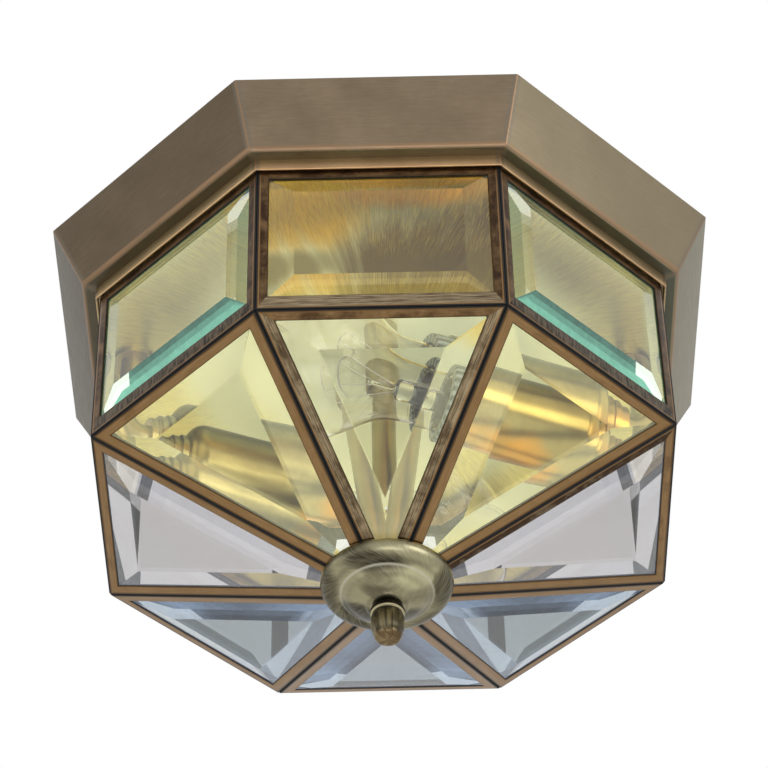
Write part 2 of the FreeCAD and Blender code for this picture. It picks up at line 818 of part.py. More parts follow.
def make_sockets():
    """Both sockets with their covers, arms, nipples and bulbs."""
    save_socket_pair("socket_cover", socket_cover())
    bodies = [on_socket_axis(socket_body(), side) for side in (0, 1)]
    save("socket_bodies", Part.makeCompound(bodies))
    shells = [on_socket_axis(piece, side) for side in (0, 1) for piece in screw_shell()]
    save("socket_screw_shells", Part.makeCompound(shells))

    save_socket_pair("bulb_base", bulb_base())
    save_socket_pair("bulb_contact", bulb_contact())
    save_socket_pair("bulb_glass", bulb_envelope(0).cut(bulb_envelope(bulb_wall)))
    save_socket_pair("bulb_filament", bulb_mount())

    save("right_socket_arm", socket_arm(0))
    save("left_socket_arm", socket_arm(1))
    nipples = []
    body_back_face = socket_face + body_length
    for side in (0, 1):
        start = socket_place(body_back_face - body_back, 0, socket_height, side)
        end = socket_place(arm_start + arm_inlet, 0, socket_height, side)
        nipples.append(pipe(pipe_radius, pipe_bore / 2, start, end))
        low = socket_place(arm_rise, 0, canopy_floor - nipple_inset, side)
        high = socket_place(arm_rise, 0, canopy_inside_floor + nipple_overhang, side)
        nipples.append(pipe(pipe_radius, pipe_bore / 2, low, high))
    save("pipe_nipples", Part.makeCompound(nipples))


def connector(mouth, way):
    """A twist-on wire connector, from its mouth along a direction."""
    wide, slim, bore = connector_mouth_diameter / 2, connector_tip_diameter / 2, connector_bore / 2
    points = [
        (bore, 0),
        (wide, 0),
        (slim, connector_length),
        (0, connector_length),
        (0, connector_bore_depth),
        (bore, connector_bore_depth),
        (bore, 0),
    ]
    shape = lathe(chain(points))
    shape.Placement = FreeCAD.Placement(mouth, FreeCAD.Rotation(up, way))
    return shape


def make_wiring():
    """Two leads from each socket, through its arm, to the connectors on the canopy floor, and a ground wire."""
    lie = canopy_inside_floor + rest_gap + connector_mouth_diameter / 2
    back = Vector(0, 1, 0)
    mouths = {sign: Vector(sign * connector_spread, connector_back, lie) for sign in (-1, 1)}
    terminal = socket_face + body_bore_depth + body_web + joint_gap
    depth = connector_bore_depth * 2 / 3
    wires = []
    heights = {(0, 1): low_lead_height, (1, -1): low_lead_height, (0, -1): middle_lead_height, (1, 1): high_lead_height}
    for (side, sign), rise in heights.items():
        beside = lead_spacing / 2 * (sign if side == 0 else -sign)
        height = canopy_inside_floor + rise
        beside_x = lead_spacing / 2 * (1 if side == 0 else -1)
        entry = mouths[sign] + Vector(beside_x, 0, 0)
        turn_in = Vector(entry.x, connector_back - connector_length, height)
        path = [
            socket_place(terminal, beside, socket_height, side),
            socket_place(arm_rise, beside, socket_height, side),
            socket_place(arm_rise, beside, height, side),
            turn_in,
            entry - back * lead_straight,
            entry + back * depth,
        ]
        wires.append(rounded_tube(path, lead_diameter / 2, lead_bend, lead_bend_share))
    ground_mouth = Vector(-ground_place, -bar_width, lie)
    screw_side = Vector(-ground_place, -(ground_head_diameter + ground_wire_diameter) / 2 - joint_gap, -bar_sheet)
    screw_side = screw_side - up * ground_wire_diameter
    path = [
        screw_side,
        Vector(screw_side.x, screw_side.y, screw_side.z - ground_run),
        ground_mouth - back * depth,
    ]
    wires.append(rounded_tube(path, ground_wire_diameter / 2, lead_bend, lead_bend_share))
    save("fixture_wires", Part.makeCompound(wires))
    connectors = [connector(mouths[sign], back) for sign in (-1, 1)] + [connector(ground_mouth, -back)]
    save("wire_connectors", Part.makeCompound(connectors))


def make_hub():
    """The plug in the pyramid's point, with a boss for the stem tube and a hole for the pipe."""
    slope = math.radians(pyramid_slope)
    low_half = hub_clearance * math.cos(slope) - joint_gap
    high_half = low_half - came_depth * math.sin(slope)
    plug = rings_solid([octagon(2 * low_half, hub_bottom), octagon(2 * high_half, hub_plug_top)])
    boss = rod(hub_boss_diameter / 2, Vector(0, 0, hub_plug_top), Vector(0, 0, hub_top))
    hole = rod(pipe_radius + hub_hole_clearance, Vector(0, 0, point_height), Vector(0, 0, hub_top + cut_overrun))
    save("cage_hub", plug.fuse(boss).removeSplitter().cut(hole))


def scaled(shares, radius, top, length, wall):
    """Outline points from shares of a radius and of a length downwards, moved inwards by a wall."""
    return [(max(r * radius - wall, 0), top - z * length + wall) for r, z in shares]


def make_finial():
    """The cup that presses on the cage's ridges, and the knob that screws on to the pipe."""
    hole = pipe_radius + hub_hole_clearance
    band = scaled(cup_band_shares, cup_radius, cup_top, cup_depth, 0)
    dome = scaled(cup_dome_shares, cup_radius, cup_top, cup_depth, 0)
    outside = [smooth(band), smooth(dome)] + chain([band[-1], dome[0]])
    outside += chain([dome[-1], (0, cup_bottom), (0, cup_top), band[0]])
    inner_band = scaled(cup_band_shares, cup_radius, cup_top, cup_depth, cup_wall)
    inner_dome = scaled(cup_dome_shares, cup_radius, cup_top, cup_depth, cup_wall)
    high = cup_top + cut_overrun
    inside = [smooth(inner_band), smooth(inner_dome)] + chain([inner_band[-1], inner_dome[0]])
    inside += chain([inner_dome[-1], (0, inner_dome[-1][1]), (0, high), (inner_band[0][0], high), inner_band[0]])
    cup = lathe(outside).cut(lathe(inside))
    save("finial_cup", cup.cut(rod(hole, Vector(0, 0, cup_bottom - cut_overrun), Vector(0, 0, cup_top))))

    tables = (knob_neck_shares, knob_ring_shares, knob_body_shares, knob_tip_shares)
    neck, ring, body, tip = [scaled(shares, knob_radius, knob_top, knob_length, 0) for shares in tables]
    edges = chain([(0, knob_top)] + neck + ring[:1]) + [smooth(ring)] + chain([ring[-1], body[0]])
    edges += [smooth(body)] + chain([body[-1], tip[0]]) + [smooth(tip)] + chain([tip[-1], (0, knob_top)])
    bore_end = Vector(0, 0, pipe_bottom - knob_bore_spare)
    knob = lathe(edges).cut(rod(thread_hole_radius, bore_end, Vector(0, 0, knob_top + cut_overrun)))
    save("finial_knob", knob)


make_canopy()
make_seat_ring()
make_crossbar()
make_stem()
make_sockets()
make_wiring()
make_hub()
make_finial()
make_panels()
print(len(written), "nodes")
print("finial travel", round(finial_turns * thread_pitch, 3), "bulb travel", round(bulb_turns * base_pitch, 3))
print("belt", round(belt_height, 2), "point", round(point_height, 2), "knob end", round(knob_top - knob_length, 2))
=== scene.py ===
import bmesh
import bpy
import numpy as np
from math import atan2, cos, pi, radians, sin, tan
from mathutils import Matrix, Vector
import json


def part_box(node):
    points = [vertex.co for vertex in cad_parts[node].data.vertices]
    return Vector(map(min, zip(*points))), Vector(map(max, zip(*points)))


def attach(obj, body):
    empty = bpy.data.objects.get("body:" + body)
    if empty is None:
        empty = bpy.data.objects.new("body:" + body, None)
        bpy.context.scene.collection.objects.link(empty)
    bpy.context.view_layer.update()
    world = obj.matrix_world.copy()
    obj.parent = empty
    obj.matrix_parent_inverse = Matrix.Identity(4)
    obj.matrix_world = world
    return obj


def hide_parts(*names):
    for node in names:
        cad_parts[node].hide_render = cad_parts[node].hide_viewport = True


# A flush mount ceiling light: bevelled panes in brass came under a folded octagonal canopy.
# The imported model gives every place. What stands here is the finish, the finer shapes and the studio.

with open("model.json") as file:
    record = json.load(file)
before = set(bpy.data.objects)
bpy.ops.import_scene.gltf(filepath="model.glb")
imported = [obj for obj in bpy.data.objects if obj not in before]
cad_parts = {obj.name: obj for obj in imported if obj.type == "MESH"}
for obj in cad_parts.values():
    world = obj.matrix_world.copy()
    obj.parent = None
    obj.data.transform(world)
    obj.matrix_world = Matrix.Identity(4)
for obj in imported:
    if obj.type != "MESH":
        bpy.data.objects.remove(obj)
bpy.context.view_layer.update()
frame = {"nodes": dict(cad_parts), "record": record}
nodes = frame["nodes"]
print("frame loaded:", len(nodes), "nodes")

mm = 0.001
panels = 8
panelTurn = 2 * pi / panels


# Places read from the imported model

canopyLow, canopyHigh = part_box("canopy_shell")
ringLow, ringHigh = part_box("seat_ring")
cupLow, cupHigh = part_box("finial_cup")
knobLow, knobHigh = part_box("finial_knob")
cameLow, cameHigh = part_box("side_came_1")
paneLow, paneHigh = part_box("side_pane_1")
cageApothem, cageTop, beltHeight = -cameLow.y, cameHigh.z, cameLow.z
floorHeight = canopyLow.z
ringApothem = -ringLow.x
pyramidDrop = 52.0 * mm
cageHalf = cageApothem * tan(panelTurn / 2)
pyramidSlope = atan2(pyramidDrop, cageApothem)
pyramidLength = float(np.hypot(cageApothem, pyramidDrop))
joints = {joint["name"]: joint for joint in frame["record"]["behaviour"]["joints"]}
socketPlace = np.array(joints["right_bulb_turn"]["pos_m"])
socketWay = -np.array(joints["right_bulb_turn"]["axis"])


def paint(red, green, blue):  # a colour as a screen shows it, 0 to 255, turned into the linear one that a shader takes
    screen = np.array([red, green, blue]) / 255
    linear = np.where(screen <= 0.04045, screen / 12.92, ((screen + 0.055) / 1.055) ** 2.4)
    return (*[float(value) for value in linear], 1.0)


def darker(colour, share):
    return tuple(value * share for value in colour[:3]) + (1.0,)


# Shaders

building = {"tree": None}  # the node tree that new nodes go into


class Value:  # what a node puts out; reckoning with it adds Math nodes
    def __init__(self, socket):
        self.socket = socket

    def __add__(self, other):
        return calc("ADD", self, other)

    def __sub__(self, other):
        return calc("SUBTRACT", self, other)

    def __rsub__(self, other):
        return calc("SUBTRACT", other, self)

    def __mul__(self, other):
        return calc("MULTIPLY", self, other)

    def __truediv__(self, other):
        return calc("DIVIDE", self, other)

    def __abs__(self):
        return calc("ABSOLUTE", self)


def feed(node, inputs):  # inputs are plain values to set, or Values to link from
    for name, value in inputs.items():
        if isinstance(value, Value):
            building["tree"].links.new(value.socket, node.inputs[name])
        else:
            node.inputs[name].default_value = value
    return node


def addNode(kind, inputs=(), **settings):
    node = building["tree"].nodes.new("ShaderNode" + kind)
    for name, value in settings.items():
        setattr(node, name, value)
    return feed(node, dict(inputs))


def outputsOf(node):
    return {socket.name: Value(socket) for socket in node.outputs}


def output(kind, which, inputs=(), **settings):  # a new node's output
    return Value(addNode(kind, inputs, **settings).outputs[which])


def calc(operation, *numbers, clamp=False):  # one Math node
    return output("Math", 0, enumerate(numbers), operation=operation, use_clamp=clamp)


def blend(factor, first, second):  # one colour laid over another
    return output("Mix", 2, {0: factor, 6: first, 7: second}, data_type="RGBA", blend_type="MIX")


def spread(value, low, high, lowOut=0.0, highOut=1.0, kind="LINEAR"):  # a clamped Map Range
    inputs = {"Value": value, "From Min": low, "From Max": high, "To Min": lowOut, "To Max": highOut}
    return output("MapRange", 0, inputs, interpolation_type=kind, clamp=True)


def fade(value, low, high, lowOut=1.0, highOut=0.0):  # a smooth change
    return spread(value, low, high, lowOut, highOut, "SMOOTHSTEP")


def noise(place, scale, detail=3.0, **more):
    return output("TexNoise", "Fac", {"Vector": place, "Scale": scale, "Detail": detail, **more})


def axesOf(place):
    return list(outputsOf(addNode("SeparateXYZ", {0: place})).values())


def joinAxes(x, y, z):
    return output("CombineXYZ", 0, {0: x, 1: y, 2: z})


def objectPlace(axis=None):  # a place in the model; with an axis (its place and turn), as seen along that
    place = output("TexCoord", "Object")
    if axis is None:
        return place
    return output("Mapping", 0, {"Vector": place, "Location": axis[0], "Rotation": axis[1]}, vector_type="TEXTURE")


def newGroup(name, inputs, outputs):  # inputs are (label, kind, value), outputs are labels with kinds
    group = building["tree"] = bpy.data.node_groups.new(name, "ShaderNodeTree")
    for label, kind, value in inputs:
        socket = group.interface.new_socket(label, in_out="INPUT", socket_type="NodeSocket" + kind)
        if value is not None:
            socket.default_value = value
    for label, kind in outputs.items():
        group.interface.new_socket(label, in_out="OUTPUT", socket_type="NodeSocket" + kind)
    given = [Value(socket) for socket in group.nodes.new("NodeGroupInput").outputs[:len(inputs)]]
    return group, given, group.nodes.new("NodeGroupOutput")


def useGroup(group, inputs):
    return outputsOf(addNode("Group", inputs, node_tree=group))


def makePanelPlaces():  # a place in its own panel: across it, out from the stem, height, and the panel's number
    group, (place,), result = newGroup("panelPlaces", [("Place", "Vector", None)], {
        "Across": "Float", "Out": "Float", "Height": "Float", "Panel": "Float", "Turned": "Vector"})
    x, y, z = axesOf(place)
    angle = calc("ARCTAN2", y, x)
    number = calc("ROUND", angle / panelTurn)
    local = angle - number * panelTurn
    reach = calc("SQRT", x * x + y * y)
    across, out = reach * calc("SINE", local), reach * calc("COSINE", local)
    feed(result, {"Across": across, "Out": out, "Height": z, "Panel": number, "Turned": joinAxes(across, out, z)})
    return group


lineNoise, cloudNoise = {"detail": 3.0, "Roughness": 0.65}, {"detail": 4.0, "Roughness": 0.6}
noiseRange = (0.3, 0.7)  # where most of a noise's values lie
lineCore = 0.3  # how much of a soft line's half width has its full strength


def makeBrushing():  # fine lines along one axis of the place it is given, with a slow unevenness
    group, (place, stretch, fineness, clouds), result = newGroup("brushing", [
        ("Place", "Vector", None), ("Stretch", "Vector", (1, 1, 1)), ("Fineness", "Float", 900.0),
        ("Clouds", "Float", 30.0)], {"Lines": "Float", "Clouds": "Float"})
    drawn = output("VectorMath", 0, {0: place, 1: stretch}, operation="MULTIPLY")
    feed(result, {"Lines": noise(drawn, fineness, **lineNoise), "Clouds": noise(place, clouds, **cloudNoise)})
    return group


def makeTurnedLines():  # fine lines round a turned piece, whose axis is Z in the place that it is given
    group, (place, fineness, clouds), result = newGroup("turnedLines", [
        ("Place", "Vector", None), ("Fineness", "Float", 1800.0), ("Clouds", "Float", 60.0)],
        {"Lines": "Float", "Clouds": "Float", "Reach": "Float"})
    x, y, z = axesOf(place)
    reach = calc("SQRT", calc("MAXIMUM", x * x + y * y, 1e-8))
    lineRadius = 0.6 * mm  # small, so that the noise hardly changes on the way round
    around = joinAxes(x / reach * lineRadius, y / reach * lineRadius, reach - z)
    feed(result, {"Lines": noise(around, fineness, **lineNoise), "Reach": reach,
                  "Clouds": noise(place, clouds, Distortion=0.6, **cloudNoise)})
    return group


panelPlaces = makePanelPlaces()
brushing = makeBrushing()
turnedLines = makeTurnedLines()


def newMaterial(name, metallic=0.0, roughness=0.5, **sockets):  # gives the surface's node and the output node too
    material = bpy.data.materials.new(name)
    material.use_nodes = True
    building["tree"] = material.node_tree
    material.node_tree.nodes.clear()
    surface = addNode("BsdfPrincipled", {"Metallic": metallic, "Roughness": roughness, **sockets})
    return material, surface, addNode("OutputMaterial", {"Surface": Value(surface.outputs[0])})


def addBump(surface, height, strength, distance):
    bump = output("Bump", 0, {"Height": height, "Strength": strength, "Distance": distance})
    feed(surface, {"Normal": bump})


canopyFinish = {
    "face": paint(134, 119, 100), "shade": paint(104, 90, 72), "fleck": paint(80, 68, 54),
    # the colours on this line and the next paint light: a painted highlight with rubbed wear on the folds and the low
    # edge, a painted reflection beside the folds, and painted light and shade on the end, left and right panels
    "rubbedHighlight": paint(140, 112, 86), "beside": paint(112, 106, 96), "ends": paint(104, 103, 88),
    "leftSideLight": paint(70, 60, 48), "rightSideLight": paint(132, 124, 101),
    "share": {"shade": 0.42, "fleck": 0.3, "beside": 0.55, "ends": 0.75, "leftSideLight": 0.6, "rightSideLight": 0.5,
              "fold": 0.85, "edge": 0.8},
    "stretch": (0.05, 1.0, 1.3), "fineness": 2200.0, "clouds": 46.0, "roughness": (0.34, 0.5), "bump": (0.1, 0.2 * mm),
    # what a noise has to reach to show, first at all and then fully
    "shadeFrom": (0.32, 0.68), "fleckFrom": (0.35, 0.7),
    # which panels show the painted light and shade of each side, by the sine (the ends) or the cosine (the others) of
    # their turn from the right
    "endsFrom": (0.1, 0.5), "leftSideLightFrom": (-0.75, -0.1), "rightSideLightFrom": (0.1, 0.75),
    "foldReach": 0.9 * mm, "besideReach": 3.0 * mm, "edgeHeight": 2.2 * mm, "edgeFrom": (0.2, 0.6),
    "rubbedShare": (0.55, 1.0),
}
patinaFinish = dict(canopyFinish, face=paint(105, 102, 88), shade=paint(76, 76, 66), rubbedHighlight=paint(112, 98, 78),
                    rightSideLight=paint(58, 64, 54), ends=paint(108, 108, 96))
ringFinish = dict(
    canopyFinish, face=paint(204, 170, 128), shade=paint(156, 126, 94), fleck=paint(120, 94, 68),
    rubbedHighlight=paint(184, 144, 106), leftSideLight=paint(196, 180, 140), rightSideLight=paint(172, 158, 126), edgeHeight=0.8 * mm)


def makeSheetBrass(name, look, low):  # brushed level; painted light and shade by the side each panel faces, a painted reflection beside its folds, and a painted highlight with rubbed wear on its folds and along the height called low
    share, foldReach, edgeHeight = look["share"], look["foldReach"], look["edgeHeight"]
    material, surface, _ = newMaterial(name, metallic=1.0, roughness=0.42)
    local = useGroup(panelPlaces, {"Place": objectPlace()})
    brushed = useGroup(brushing, {"Place": local["Turned"], "Stretch": look["stretch"],
                                  "Fineness": look["fineness"], "Clouds": look["clouds"]})
    lines, clouds = brushed["Lines"], brushed["Clouds"]
    colour = blend(spread(lines, *look["shadeFrom"]) * share["shade"], look["face"], look["shade"])
    colour = blend(spread(clouds, *look["fleckFrom"]) * share["fleck"], colour, look["fleck"])
    turn = local["Panel"] * panelTurn
    aside = calc("COSINE", turn)
    # painted light and shade by the side each panel faces: the end panels, the left ones and the right ones
    colour = blend(spread(abs(calc("SINE", turn)), *look["endsFrom"], share["ends"], 0.0), colour, look["ends"])
    colour = blend(spread(aside, *look["leftSideLightFrom"], share["leftSideLight"], 0.0), colour, look["leftSideLight"])
    colour = blend(spread(aside, *look["rightSideLightFrom"], 0.0, share["rightSideLight"]), colour, look["rightSideLight"])
    fold = local["Out"] * tan(panelTurn / 2) - abs(local["Across"])
    above = abs(local["Height"] - (low + edgeHeight / 2))
    # a painted reflection beside the folds
    colour = blend(fade(fold, foldReach, look["besideReach"], share["beside"]), colour, look["beside"])
    # a painted highlight with rubbed wear on the folds and along the low edge
    worn = calc("MAXIMUM", fade(fold, foldReach * lineCore, foldReach, share["fold"]),
                fade(above, *(edgeHeight * part for part in look["edgeFrom"]), share["edge"]))
    colour = blend(worn * spread(clouds, *noiseRange, *look["rubbedShare"]), colour, look["rubbedHighlight"])
    feed(surface, {"Base Color": colour, "Roughness": spread(lines, *noiseRange, *look["roughness"])})
    addBump(surface, lines, *look["bump"])
    return material


lightPatchLook = {"edge": (0.2, 1.3), "ragged": (-0.3, 0.3)}  # where an oval of painted light and shade fades, and how far the clouds shift that


def paintLightPatches(x, y, clouds, paintedLightPatches, colour):  # soft ovals of painted light and shade: place, half length and width in mm, turn, colour, strength
    for (atX, atY), halfLength, halfWidth, turn, patchColour, strength in paintedLightPatches:
        fromX, fromY = x - atX * mm, y - atY * mm
        u = (fromX * cos(turn) + fromY * sin(turn)) / (halfLength * mm)
        v = (fromY * cos(turn) + fromX * -sin(turn)) / (halfWidth * mm)
        ring = u * u + v * v + spread(clouds, *noiseRange, *lightPatchLook["ragged"])
        colour = blend(fade(ring, *lightPatchLook["edge"], strength), colour, patchColour)
    return colour


floorFinish = {
    # the rim colour is painted shade, darker towards the canopy's edge
    "face": paint(250, 255, 214), "rim": paint(208, 206, 152), "inner": (0.08, 0.104),
    "metallic": (0.35, 1.0), "roughness": (0.28, 0.32), "anisotropic": 0.5, "bump": (0.12, 0.2 * mm),
    # brushed lines, dark and bright; how much they show from inside to outside, and in front of the stem
    "line": paint(150, 112, 30), "shine": paint(255, 226, 96), "fineness": 2600.0, "clouds": 90.0, "fan": (0.1, 0.05),
    "lineFrom": (0.46, 0.62), "shineFrom": (0.5, 0.38),
    "grain": (0.05, 0.25), "grainFrom": (0.08, 0.1), "frontGrain": (-0.06, -0.085, 0.4, 0.0),
    # painted glow and reflections: golden patches, narrow bright glints, and dark and pale patches
    "paintedLightPatches": [
        ((38, -44), 32, 24, -0.3, paint(255, 218, 40), 1.0), ((-42, -48), 26, 14, 0.4, paint(184, 188, 158), 0.8),
        ((-36, -100), 32, 30, 0.2, paint(255, 204, 30), 1.0), ((14, -112), 44, 14, 0.0, paint(250, 184, 30), 1.0),
        ((18, -64), 42, 33, 0.05, paint(104, 86, 24), 1.0), ((46, -84), 20, 26, 0.2, paint(100, 78, 24), 1.0),
        ((-20, -101), 2.8, 12, -0.5, paint(255, 208, 30), 1.0), ((-48, -90), 2.8, 12, -0.9, paint(255, 208, 30), 0.9),
        ((-44, -116), 14, 4, 0.0, paint(140, 112, 30), 0.6), ((-38, -64), 20, 12, -0.1, paint(158, 150, 100), 1.0)],
}


def makeFloorBrass():  # the canopy's underside: lacquered pale near the stem, painted shade towards the rim, painted glow and reflections in soft patches, and brushed lines that fan out round it
    look = floorFinish
    material, surface, _ = newMaterial("floorBrass", metallic=1.0, roughness=0.14, Anisotropic=look["anisotropic"])
    x, y, _ = axesOf(objectPlace())
    reach = calc("SQRT", x * x + y * y)
    around, outward = look["fan"]
    polar = joinAxes(x / reach * around, y / reach * around, reach * outward)
    brushed = useGroup(brushing, {"Place": polar, "Fineness": look["fineness"], "Clouds": look["clouds"]})
    lines = brushed["Lines"]
    # painted shade towards the rim
    outwards = fade(reach, *look["inner"], 0.0, 1.0)
    colour = paintLightPatches(x, y, brushed["Clouds"], look["paintedLightPatches"], blend(outwards, look["face"], look["rim"]))
    low, high, inFront, elsewhere = look["frontGrain"]
    depth = calc("MAXIMUM", fade(reach, *look["grainFrom"], *look["grain"]), fade(y, low, high, elsewhere, inFront))
    colour = blend(spread(lines, *look["lineFrom"]) * depth, colour, look["line"])
    colour = blend(spread(lines, *look["shineFrom"]) * depth, colour, look["shine"])
    feed(surface, {"Base Color": colour, "Metallic": spread(outwards, 0.0, 1.0, *look["metallic"]),
                   "Roughness": spread(outwards, 0.0, 1.0, *look["roughness"]),
                   "Tangent": output("Tangent", 0, direction_type="RADIAL", axis="Z")})
    addBump(surface, lines, *look["bump"])
    return material


cameFinish = {
    # the seam, inside and edge colours are painted shade: black in the gaps, dark on the faces inside the cage, darker
    # towards the gaps; the rubbed colour is a painted highlight with rubbed wear
    "face": paint(144, 115, 80), "streak": paint(100, 76, 48), "rubbedHighlight": paint(156, 122, 82), "seam": paint(6, 5, 4),
    "brown": paint(68, 50, 35), "brownStreak": paint(48, 35, 25), "inside": paint(20, 18, 17),
    "along": (paint(86, 72, 56), paint(156, 140, 112)), "across": (paint(36, 29, 24), paint(98, 86, 68)),
    "edge": paint(66, 48, 32), "seamReach": (0.85 * mm, 1.05 * mm), "edgeBand": (1.1 * mm, 2.1 * mm),
    "paneBand": (0.2 * mm, 0.8 * mm), "paneSeam": (0.02 * mm, 0.12 * mm),
    "rubbedPlace": 1.5 * mm, "rubbedWidth": 0.45 * mm,
    "share": {"streak": 0.55, "cloud": 0.22, "edge": 0.8, "rubbedHighlight": 0.6}, "roughness": (0.36, 0.7),
    "metallic": (1.0, 0.3), "bump": (0.14, 0.2 * mm), "middle": (0.0, 0.0, beltHeight * 0.8),
    "drawn": {"Stretch": (0.035, 1.0, 1.0), "Fineness": 2400.0, "Clouds": 120.0},
    "short": {"Stretch": (1.0, 0.16, 0.3), "Fineness": 900.0, "Clouds": 260.0},
    "grainFrom": (0.34, 0.66), "cloudFrom": (0.4, 0.68), "alongFrom": (0.38, 0.6), "acrossFrom": (0.38, 0.62),
    # by how dark the rail has gone: brown, then grained along it, then across it; and the line of painted highlight
    # with rubbed wear
    "brownFrom": (0.15, 0.45), "grainedFrom": (0.5, 0.7), "acrossOver": (0.82, 0.95), "rubbedFrom": (0.25, 0.38),
    "uneven": (0.35, 0.65, -0.1, 0.1), "insideFrom": (0.0, -0.01), "paneShare": 0.3,
}


def makeCameBrass():  # drawn along each rail; painted shade black in the seams and dark on the faces inside the cage, and a painted highlight with rubbed wear beside the seams
    look = cameFinish
    share, width = look["share"], look["rubbedWidth"]
    material, surface, _ = newMaterial("cameBrass", metallic=1.0, roughness=look["roughness"][0])
    alongRail, seam, _ = axesOf(output("UVMap", 0, uv_map="rail"))
    pane, patina = (output("Attribute", "Fac", attribute_name=label) for label in ("fromPane", "patina"))
    place = joinAxes(alongRail, seam, pane * look["paneShare"])
    drawn = useGroup(brushing, {"Place": place, **look["drawn"]})
    short = useGroup(brushing, {"Place": place, **look["short"]})["Lines"]
    lines, clouds = drawn["Lines"], drawn["Clouds"]
    grain = spread(lines, *look["grainFrom"])
    colour = blend(grain * share["streak"], look["face"], look["streak"])
    colour = blend(spread(clouds, *look["cloudFrom"]) * share["cloud"], colour, look["streak"])
    along = blend(spread(lines, *look["alongFrom"]), *look["along"])
    across = blend(spread(short, *look["acrossFrom"]), *look["across"])
    patched = patina + spread(clouds, *look["uneven"])
    colour = blend(spread(patched, *look["brownFrom"]), colour, blend(grain, look["brown"], look["brownStreak"]))
    grained = blend(spread(patina, *look["acrossOver"]), along, across)
    colour = blend(spread(patched, *look["grainedFrom"]), colour, grained)
    # painted shade towards the seams and the panes
    edges = calc("MAXIMUM", fade(seam, *look["edgeBand"]), fade(pane, *look["paneBand"]))
    colour = blend(edges * share["edge"], colour, look["edge"])
    # a painted highlight with rubbed wear along the rounded edge
    rubbedHighlight = fade(abs(seam - look["rubbedPlace"]), width * lineCore, width, share["rubbedHighlight"])
    colour = blend(rubbedHighlight * spread(patina, *look["rubbedFrom"]), colour, look["rubbedHighlight"])
    # painted shade: black in the gaps at the seams and the panes, dark on the faces inside the cage
    dark = calc("MAXIMUM", fade(seam, *look["seamReach"]), spread(pane, *look["paneSeam"], 1.0, 0.0))
    fromMiddle = output("VectorMath", 0, {0: objectPlace(), 1: look["middle"]}, operation="SUBTRACT")
    normal = output("NewGeometry", "Normal")
    facing = output("VectorMath", "Value", {0: fromMiddle, 1: normal}, operation="DOT_PRODUCT")
    inner = spread(facing, *look["insideFrom"])
    colour = blend(dark, blend(inner, colour, look["inside"]), look["seam"])
    feed(surface, {"Base Color": colour, "Roughness": spread(dark, 0.0, 1.0, *look["roughness"]),
                   "Metallic": spread(calc("MAXIMUM", dark, inner), 0.0, 1.0, *look["metallic"])})
    addBump(surface, short * patina + lines, *look["bump"])
    return material


coverFinish = {
    "face": paint(180, 166, 108), "dark": paint(134, 118, 72), "bright": paint(214, 202, 150),
    # the grey and the glow colours here are painted shade on the upper side and a painted golden glow
    "upperShade": paint(96, 101, 92), "glow": paint(244, 170, 42), "upperShadeFrom": (-4.0 * mm, 10.0 * mm),
    "roughness": 0.29, "clouds": 34.0, "glowSize": 22.0,
    "share": {"dark": 0.6, "glow": 0.9, "upperShade": 0.85, "bright": 0.08},
    "darkFrom": (0.38, 0.68), "glowFrom": (0.48, 0.6), "brightFrom": (0.42, 0.7),
}


def makeCoverBrass(name, axis):  # a spun cover: fine lines round its axis, a painted golden glow in patches, painted shade on its upper side
    look, share = coverFinish, coverFinish["share"]
    material, surface, _ = newMaterial(name, metallic=1.0, roughness=look["roughness"])
    turned = objectPlace(axis)
    spun = useGroup(turnedLines, {"Place": turned, "Clouds": look["clouds"]})
    colour = blend(spread(spun["Clouds"], *look["darkFrom"], 0.0, share["dark"]), look["face"], look["dark"])
    golden = noise(turned, look["glowSize"], 2.0)
    # a painted golden glow in patches
    colour = blend(spread(golden, *look["glowFrom"], 0.0, share["glow"]), colour, look["glow"])
    fromAxis = axesOf(objectPlace())[2] - float(socketPlace[2])
    # painted shade on the upper side, above the socket's axis
    colour = blend(fade(fromAxis, *look["upperShadeFrom"], 0.0, share["upperShade"]), colour, look["upperShade"])
    colour = blend(spread(spun["Lines"], *look["brightFrom"], 0.0, share["bright"]), colour, look["bright"])
    feed(surface, {"Base Color": colour})
    return material


